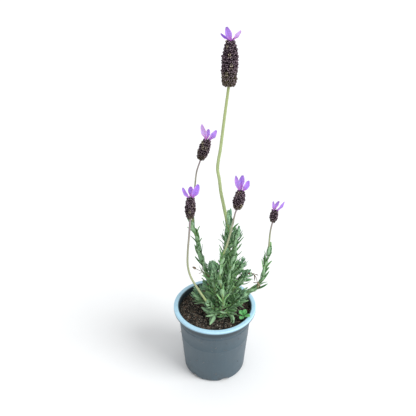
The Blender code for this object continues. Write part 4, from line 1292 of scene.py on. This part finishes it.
def calyx_pattern(name, seed):
    """One calyx: a pointed scale hugging a plump toothed cup, 1 unit across."""
    source = random.Random(seed)
    bm = bmesh.new()
    rims = []
    sides = 7
    cup = (
        (0.26, -0.35), (0.5, -0.05), (0.54, 0.4), (0.44, 0.72), (0.5, 0.95), (0.4, 0.97), (0.3, 0.72),
        (0.22, 0.45),
    )
    paleness = (0.1, 0.15, 0.25, 0.4, 1.0, 1.0, 0.15, 0.0)
    rows = []
    for index, (radius, height) in enumerate(cup):
        row = []
        for i in range(sides):
            angle = math.tau * i / sides
            tooth = 0.14 * (i % 2) if index in (4, 5) else 0.0
            wobble = 1 + source.uniform(-0.07, 0.07)
            spot = (radius * wobble * math.cos(angle), radius * wobble * math.sin(angle), height + tooth)
            row.append(bm.verts.new(spot))
            rims.append(paleness[index])
        rows.append(row)
    skin(bm, rows, sides)
    bm.faces.new(reversed(rows[0]))
    bm.faces.new(rows[-1])
    outline = ((0.22, -0.55), (0.5, -0.3), (0.58, -0.02), (0.42, 0.22), (0.08, 0.4))
    front, back = [], []
    for half, height in outline:
        bulge = 0.64 + 0.1 * math.sin(math.pi * (height + 0.55))
        for row, depth in ((front, 0.07), (back, -0.05)):
            for side in (-1, 0, 1):
                curve = bulge - 0.3 * abs(side) * half / 0.58
                row.append(bm.verts.new((side * half, curve + depth, height)))
                rims.append(0.75 if abs(side) == 1 or height > 0.3 else 0.15)
    for row, flip in ((front, False), (back, True)):
        for level in range(len(outline) - 1):
            for k in range(2):
                a = 3 * level + k
                quad = (row[a], row[a + 1], row[a + 4], row[a + 3])
                bm.faces.new(reversed(quad) if flip else quad)
    edge = [0, 1, 2] + [3 * i + 2 for i in range(1, len(outline))]
    edge += [3 * (len(outline) - 1) + 1] + [3 * i for i in range(len(outline) - 1, 0, -1)]
    for a, b in zip(edge, edge[1:] + edge[:1]):
        bm.faces.new((front[a], back[a], back[b], front[b]))
    mesh = closed_mesh(bm, name)
    store(mesh, "rim", rims)
    return bpy.data.objects.new(name, mesh)


def make_spike_tree():
    """A calyx on each face of a spike's core, sized to the face and leaning up."""
    tree, start, end = new_group(
        "calyx_rows",
        "GeometryNodeTree",
        {
            "Core": (SHAPE, None),
            "Calyces": (GROUP, None),
            "Axis": (ARROW, None),
            "Calyx Size": (FLOAT, 1.0),
            "Lean Out": (FLOAT, 0.6),
            "Seed": (WHOLE, 0),
            "Finish": (STUFF, None),
        },
        {"Spike": SHAPE},
    )
    normal = place(tree, "GeometryNodeInputNormal").outputs[0]
    area = place(tree, "GeometryNodeInputMeshFaceArea").outputs[0]
    sides = place(tree, "GeometryNodeInputMeshFaceNeighbors").outputs["Vertex Count"]
    store_node = "GeometryNodeStoreNamedAttribute"
    inputs = {"Geometry": start["Core"], "Name": "facing", "Value": normal}
    core = place(tree, store_node, inputs, data_type="FLOAT_VECTOR", domain="FACE").outputs[0]
    inputs = {"Geometry": core, "Name": "breadth", "Value": maths(tree, "SQRT", area)}
    core = place(tree, store_node, inputs, domain="FACE").outputs[0]
    inputs = {"Mesh": core, "Selection": maths(tree, "LESS_THAN", sides, 4.5)}
    points = place(tree, "GeometryNodeMeshToPoints", inputs, mode="FACES").outputs[0]
    facing = named(tree, "facing", "FLOAT_VECTOR")
    seed = start["Seed"]
    lean = maths(tree, "MULTIPLY", start["Lean Out"], random_number(tree, 0.7, 1.4, seed, 1))
    outward = place(tree, "ShaderNodeVectorMath", {0: facing, "Scale": lean}, operation="SCALE").outputs[0]
    stand = place(tree, "ShaderNodeVectorMath", {0: start["Axis"], 1: outward}, operation="ADD").outputs[0]
    rotation = place(tree, "FunctionNodeAlignRotationToVector", {"Vector": stand}, axis="Z").outputs[0]
    inputs = {"Rotation": rotation, "Vector": facing}
    rotation = place(tree, "FunctionNodeAlignRotationToVector", inputs, axis="Y", pivot_axis="Z").outputs[0]
    size = maths(tree, "MULTIPLY", start["Calyx Size"], random_number(tree, 0.88, 1.12, seed, 2))
    size = maths(tree, "MULTIPLY", named(tree, "breadth"), size)
    inputs = {
        "Points": points, "Instance": parts_of(tree, start["Calyces"]), "Pick Instance": True,
        "Instance Index": random_number(tree, 0.0, 100.0, seed, 3), "Rotation": rotation,
        "Scale": even_scale(tree, size),
    }
    calyces = place(tree, "GeometryNodeInstanceOnPoints", inputs).outputs[0]
    inputs = {"Geometry": calyces, "Name": "tint", "Value": random_number(tree, 0.0, 1.0, seed, 4)}
    calyces = place(tree, store_node, inputs, domain="INSTANCE").outputs[0]
    whole = joined(tree, calyces, core)
    whole = place(tree, "GeometryNodeSetMaterial", {0: whole, "Material": start["Finish"]}).outputs[0]
    tree.links.new(whole, end[0])
    return tree


def make_spikes(finishes):
    """The dark flower spikes."""
    tree = make_spike_tree()
    calyces = gathered("calyx_patterns", [calyx_pattern(f"calyx_{i}", i) for i in range(3)])
    for number in SPIKES:
        values = {
            "Calyces": calyces, "Axis": spike_frame(number)[1], "Calyx Size": 0.95, "Lean Out": 0.75,
            "Seed": number, "Finish": finishes["calyx"],
        }
        spike = grown(f"calyces_{number}", spike_core(number), tree, values)
        settle(spike, "spike", f"flower_spike_{number}")
    discard(calyces)


def make_bract(number, index, row, finish):
    """A papery bract with a narrow foot, rolled sides and a wavy edge."""
    stand, tip_x, tip_y, tip_z, width, facing, pale, roll, wave = row
    foot, up = spike_frame(number)
    top = foot + up * (SPIKES[number][1] - 0.6) * MM
    outward = level_way(stand)
    outward = (outward - up * outward.dot(up)).normalized()
    start = top + outward * BRACT_RING_RADIUS
    tip = start + up * 0.9 * MM + Vector((tip_x, tip_y, tip_z)) * MM
    along = (tip - start).normalized()
    look = level_way(facing)
    look = (look - along * look.dot(along)).normalized()
    across = along.cross(look)
    reach = (tip - start).length
    phase = number * 1.7 + index * 2.3
    bm = bmesh.new()
    columns, rows = 14, 30
    grid, marks = [], []
    for j in range(rows + 1):
        share = j / rows
        swell = math.sin(math.pi * (0.04 + 0.93 * share) ** 1.2) ** 0.62
        half = (0.75 * (1 - share) ** 2 + width * 0.5 * swell * (0.35 + 0.65 * min(1, 2.2 * share))) * MM
        bow = math.sin(math.pi * share) * 0.1 * reach - 0.08 * reach * share**3
        line = []
        for i in range(columns + 1):
            side = 2 * i / columns - 1
            curl = roll * 1.9 * side
            sideways = half * (math.sin(curl) / (roll * 1.9) if roll > 0.05 else side)
            inward = half * (1 - math.cos(curl)) / (roll * 1.9 + 0.2) * 0.9
            ripple = wave * 0.75 * MM * abs(side) ** 2 * math.sin(share * 12 + phase + 2 * side)
            ripple += 0.12 * MM * math.sin(side * 9 + phase)
            spot = start + along * share * reach + across * sideways + look * (bow + inward + ripple)
            line.append(bm.verts.new(spot))
            marks.append((share, side))
        grid.append(line)
    cover(bm, grid)
    name = f"petal_{number}{'abc'[index]}"
    mesh = bpy.data.meshes.new(name)
    bm.to_mesh(mesh)
    bm.free()
    mesh.shade_smooth()
    mesh.materials.append(finish)
    store(mesh, "along", [mark[0] for mark in marks])
    store(mesh, "across", [mark[1] for mark in marks])
    store(mesh, "pale", [pale] * len(marks))
    source = link(bpy.data.objects.new(name, mesh))
    solidify = source.modifiers.new("thickness", "SOLIDIFY")
    solidify.thickness = BRACT_THICKNESS
    solidify.offset = 0
    settle(applied(source, name), "bract", f"bract_{number}{'abc'[index]}")


def make_bracts(finish):
    for number, rows in BRACTS.items():
        for index, row in enumerate(rows):
            make_bract(number, index, row, finish)


# --- Withered stalks and seedling ---


def make_dead_stalks(tree, leaves, finishes):
    """Last season's stalks, withered, with a few curled leaves."""
    for seed, (name, (round_angle, up_angle, points)) in enumerate(DEAD_STALKS.items()):
        path = smooth_path(crown_route(round_angle, up_angle, points), ROUTE_STEP)
        line = line_mesh(name, path, (0.6 * MM, 0.32 * MM), 11 * MM, 6 * MM, 8 * MM, 22 * MM)
        values = {
            "Leaves": leaves, "Leaves at a Place": 2, "Leaf Size": 0.4, "Side Leaf Size": 0.7,
            "Tip Leaf Size": 0.6, "Splay": 1.0, "Tip Splay": 0.7, "Breadth": 1.0, "Lowest Tip": 0.0,
            "Seed": seed + 90, "Leaf Finish": finishes["dead_leaf"], "Stem Finish": finishes["dead"],
        }
        settle(grown("withered_" + name, line, tree, values), "dead_stalk", name)


def round_leaf(bm, foot, way, length, width, cup):
    """A closed round leaf on a short stalk, added to a mesh; it gives back its marks."""
    way = way.normalized()
    across = way.cross(UP).normalized()
    above = across.cross(way).normalized()
    columns, rows = 8, 12
    marks, sheets = [], []
    for sign in (1, -1):
        sheet = []
        for j in range(rows + 1):
            share = j / rows
            blade = max(0.0, (share - 0.22) / 0.78)
            half = width / 2 * math.sin(math.pi * min(1.0, 0.02 + 0.98 * blade)) ** 0.55 if blade else 0
            half = max(half, 0.35 * MM)
            line = []
            for i in range(columns + 1):
                side = 2 * i / columns - 1
                thick = 0.22 * MM * math.sqrt(max(0.0, 1 - side**2)) + 0.02 * MM
                lift = math.sin(share * math.pi * 0.9) * cup + abs(side) * half * 0.35
                spot = foot + way * share * length + across * side * half + above * (lift + sign * thick)
                line.append(bm.verts.new(spot))
                marks.append((share, side, 1.0 if sign > 0 else 0.0))
            sheet.append(line)
        sheets.append(sheet)
    cover(bm, sheets[0])
    cover(bm, sheets[1], flip=True)
    rim = [(0, i) for i in range(columns)] + [(j, columns) for j in range(rows)]
    rim += [(rows, columns - i) for i in range(columns)] + [(rows - j, 0) for j in range(rows)]
    upper, lower = sheets
    for (j, i), (next_j, next_i) in zip(rim, rim[1:] + rim[:1]):
        bm.faces.new((upper[j][i], upper[next_j][next_i], lower[next_j][next_i], lower[j][i]))
    return marks


def make_seedling(finish):
    """A bright young weed by the rim, with round leaves on thin stalks."""
    reach = inner_radius(SOIL_TOP) - SEEDLING_FROM_WALL
    way = level_way(SEEDLING_ANGLE)
    across = UP.cross(way)
    foot = way * reach + UP * (SOIL_TOP - 0.5 * MM)
    top = foot + UP * (SEEDLING_HEIGHT - 1 * MM)
    bm = bmesh.new()
    bmesh.ops.create_cone(
        bm, cap_ends=True, segments=8, radius1=0.7 * MM, radius2=0.5 * MM, depth=(top - foot).length,
        matrix=Matrix.Translation((foot + top) / 2),
    )
    marks = [(0.0, 0.0, 1.0)] * len(bm.verts)
    # each leaf's heading, then its length, width and cupping in mm
    leaves = (
        (way * 0.9 + UP * 0.35, 10.5, 7.2, 0.7),
        (-way * 0.8 + across * 0.4 + UP * 0.45, 9.0, 6.2, 0.6),
        (across + UP * 0.75, 9.5, 6.2, 0.6),
        (-across + way * 0.1 + UP * 0.3, 10.0, 6.6, 0.5),
        (way * 0.3 + across * 0.4 + UP * 1.1, 6.0, 3.6, 0.3),
        (-way * 0.3 - across * 0.5 + UP * 0.9, 6.4, 3.8, 0.3),
    )
    for heading, length, width, cup in leaves:
        marks += round_leaf(bm, top - UP * 0.4 * MM, heading, length * MM, width * MM, cup * MM)
    mesh = bpy.data.meshes.new("seedling")
    bmesh.ops.recalc_face_normals(bm, faces=bm.faces)
    bm.to_mesh(mesh)
    bm.free()
    mesh.shade_smooth()
    mesh.materials.append(finish)
    for index, title in enumerate(("along", "across", "upper")):
        store(mesh, title, [mark[index] for mark in marks])
    settle(link(bpy.data.objects.new("young_weed", mesh)), "seedling", "weed_seedling")


# --- Stage ---


def make_floor():
    bm = bmesh.new()
    bmesh.ops.create_grid(bm, x_segments=8, y_segments=8, size=5)
    mesh = bpy.data.meshes.new("floor")
    bm.to_mesh(mesh)
    bm.free()
    mesh.materials.append(floor_finish())
    link(bpy.data.objects.new("floor", mesh))


def light_scene():
    """Even white light all round, and one soft window light from the right."""
    world = bpy.data.worlds.new("soft_white")
    world.use_nodes = True
    sky = world.node_tree.nodes["Background"].inputs
    sky["Color"].default_value = (0.98, 0.99, 1, 1)
    sky["Strength"].default_value = 0.75
    scene = bpy.context.scene
    scene.world = world
    light = bpy.data.lights.new("window", "SUN")
    light.energy = 2.3
    light.angle = math.radians(40)
    light.color = (0.97, 0.99, 1)
    window = link(bpy.data.objects.new("window", light))
    window.rotation_euler = WINDOW_DIRECTION.to_track_quat("Z", "Y").to_euler()
    scene.view_settings.view_transform = "Standard"


def place_camera():
    data = bpy.data.cameras.new("camera")
    data.lens = CAMERA_LENS
    data.sensor_width = 36
    camera = link(bpy.data.objects.new("camera", data))
    camera.location = CAMERA_PLACE
    camera.rotation_euler = (CAMERA_TILT, 0, 0)
    bpy.context.scene.camera = camera


def make_finishes():
    """Every finish by the name of what wears it."""
    return {
        "pot": slate_plastic(),
        "soil": peat("peat", (0.005, 0.004, 0.004, 1), (0.09, 0.078, 0.064, 1)),
        "crumb": peat("peat_crumb", (0.006, 0.005, 0.004, 1), (0.25, 0.225, 0.185, 1)),
        "chip": bark_finish("bark_chip", (0.045, 0.028, 0.02, 1), (0.22, 0.15, 0.105, 1)),
        "fibre": bark_finish("root_fibre", (0.12, 0.08, 0.05, 1), (0.4, 0.33, 0.25, 1)),
        "perlite": perlite_finish(),
        "crown": bark_finish("crown_bark", (0.05, 0.03, 0.02, 1), (0.2, 0.14, 0.09, 1)),
        "leaf": leaf_finish(
            "downy_leaf",
            old=(0.045, 0.165, 0.045, 1), fresh=(0.28, 0.55, 0.19, 1), under=(0.34, 0.53, 0.32, 1),
            tip=(0.36, 0.58, 0.28, 1), head=(0.21, 0.41, 0.33, 1),
        ),
        "stem": stem_finish(
            "leafy_stem",
            foot=(0.16, 0.13, 0.06, 1), middle=(0.24, 0.33, 0.12, 1),
            top=(0.33, 0.45, 0.18, 1), down=(0.42, 0.5, 0.34, 1),
        ),
        "stalk": stem_finish(
            "flower_stalk",
            foot=(0.34, 0.42, 0.15, 1), middle=(0.33, 0.36, 0.2, 1),
            top=(0.27, 0.2, 0.22, 1), down=(0.5, 0.5, 0.45, 1),
        ),
        "tall_stalk": stem_finish(
            "tall_flower_stalk",
            foot=(0.30, 0.40, 0.15, 1), middle=(0.38, 0.46, 0.2, 1),
            top=(0.36, 0.42, 0.17, 1), down=(0.6, 0.66, 0.48, 1),
        ),
        "calyx": calyx_finish(),
        "bract": bract_finish(),
        "dead": bark_finish("dead_stalk", (0.13, 0.08, 0.045, 1), (0.34, 0.23, 0.14, 1)),
        "dead_leaf": leaf_finish(
            "dead_leaf",
            old=(0.16, 0.1, 0.06, 1), fresh=(0.32, 0.22, 0.14, 1), under=(0.36, 0.27, 0.18, 1),
            tip=(0.22, 0.14, 0.09, 1), head=(0.2, 0.14, 0.09, 1),
        ),
        "seedling": leaf_finish(
            "seedling_leaf",
            old=(0.12, 0.44, 0.13, 1), fresh=(0.26, 0.62, 0.24, 1), under=(0.42, 0.76, 0.38, 1),
            tip=(0.26, 0.6, 0.26, 1), head=(0.14, 0.5, 0.15, 1),
        ),
    }


def main():
    place_camera()
    light_scene()
    make_floor()
    finishes = make_finishes()
    make_pot(finishes["pot"])
    bed = make_soil_bed(finishes["soil"])
    make_strewn_soil(bed, finishes)
    make_crown(finishes["crown"])
    leafy_tree = make_leafy_tree()
    leaves = make_leaf_patterns()
    ends = make_shoots(leafy_tree, leaves, finishes)
    make_dead_stalks(leafy_tree, leaves, finishes)
    discard(leaves)
    make_stalks(ends, finishes)
    make_spikes(finishes)
    make_bracts(finishes["bract"])
    make_seedling(finishes["seedling"])


main()
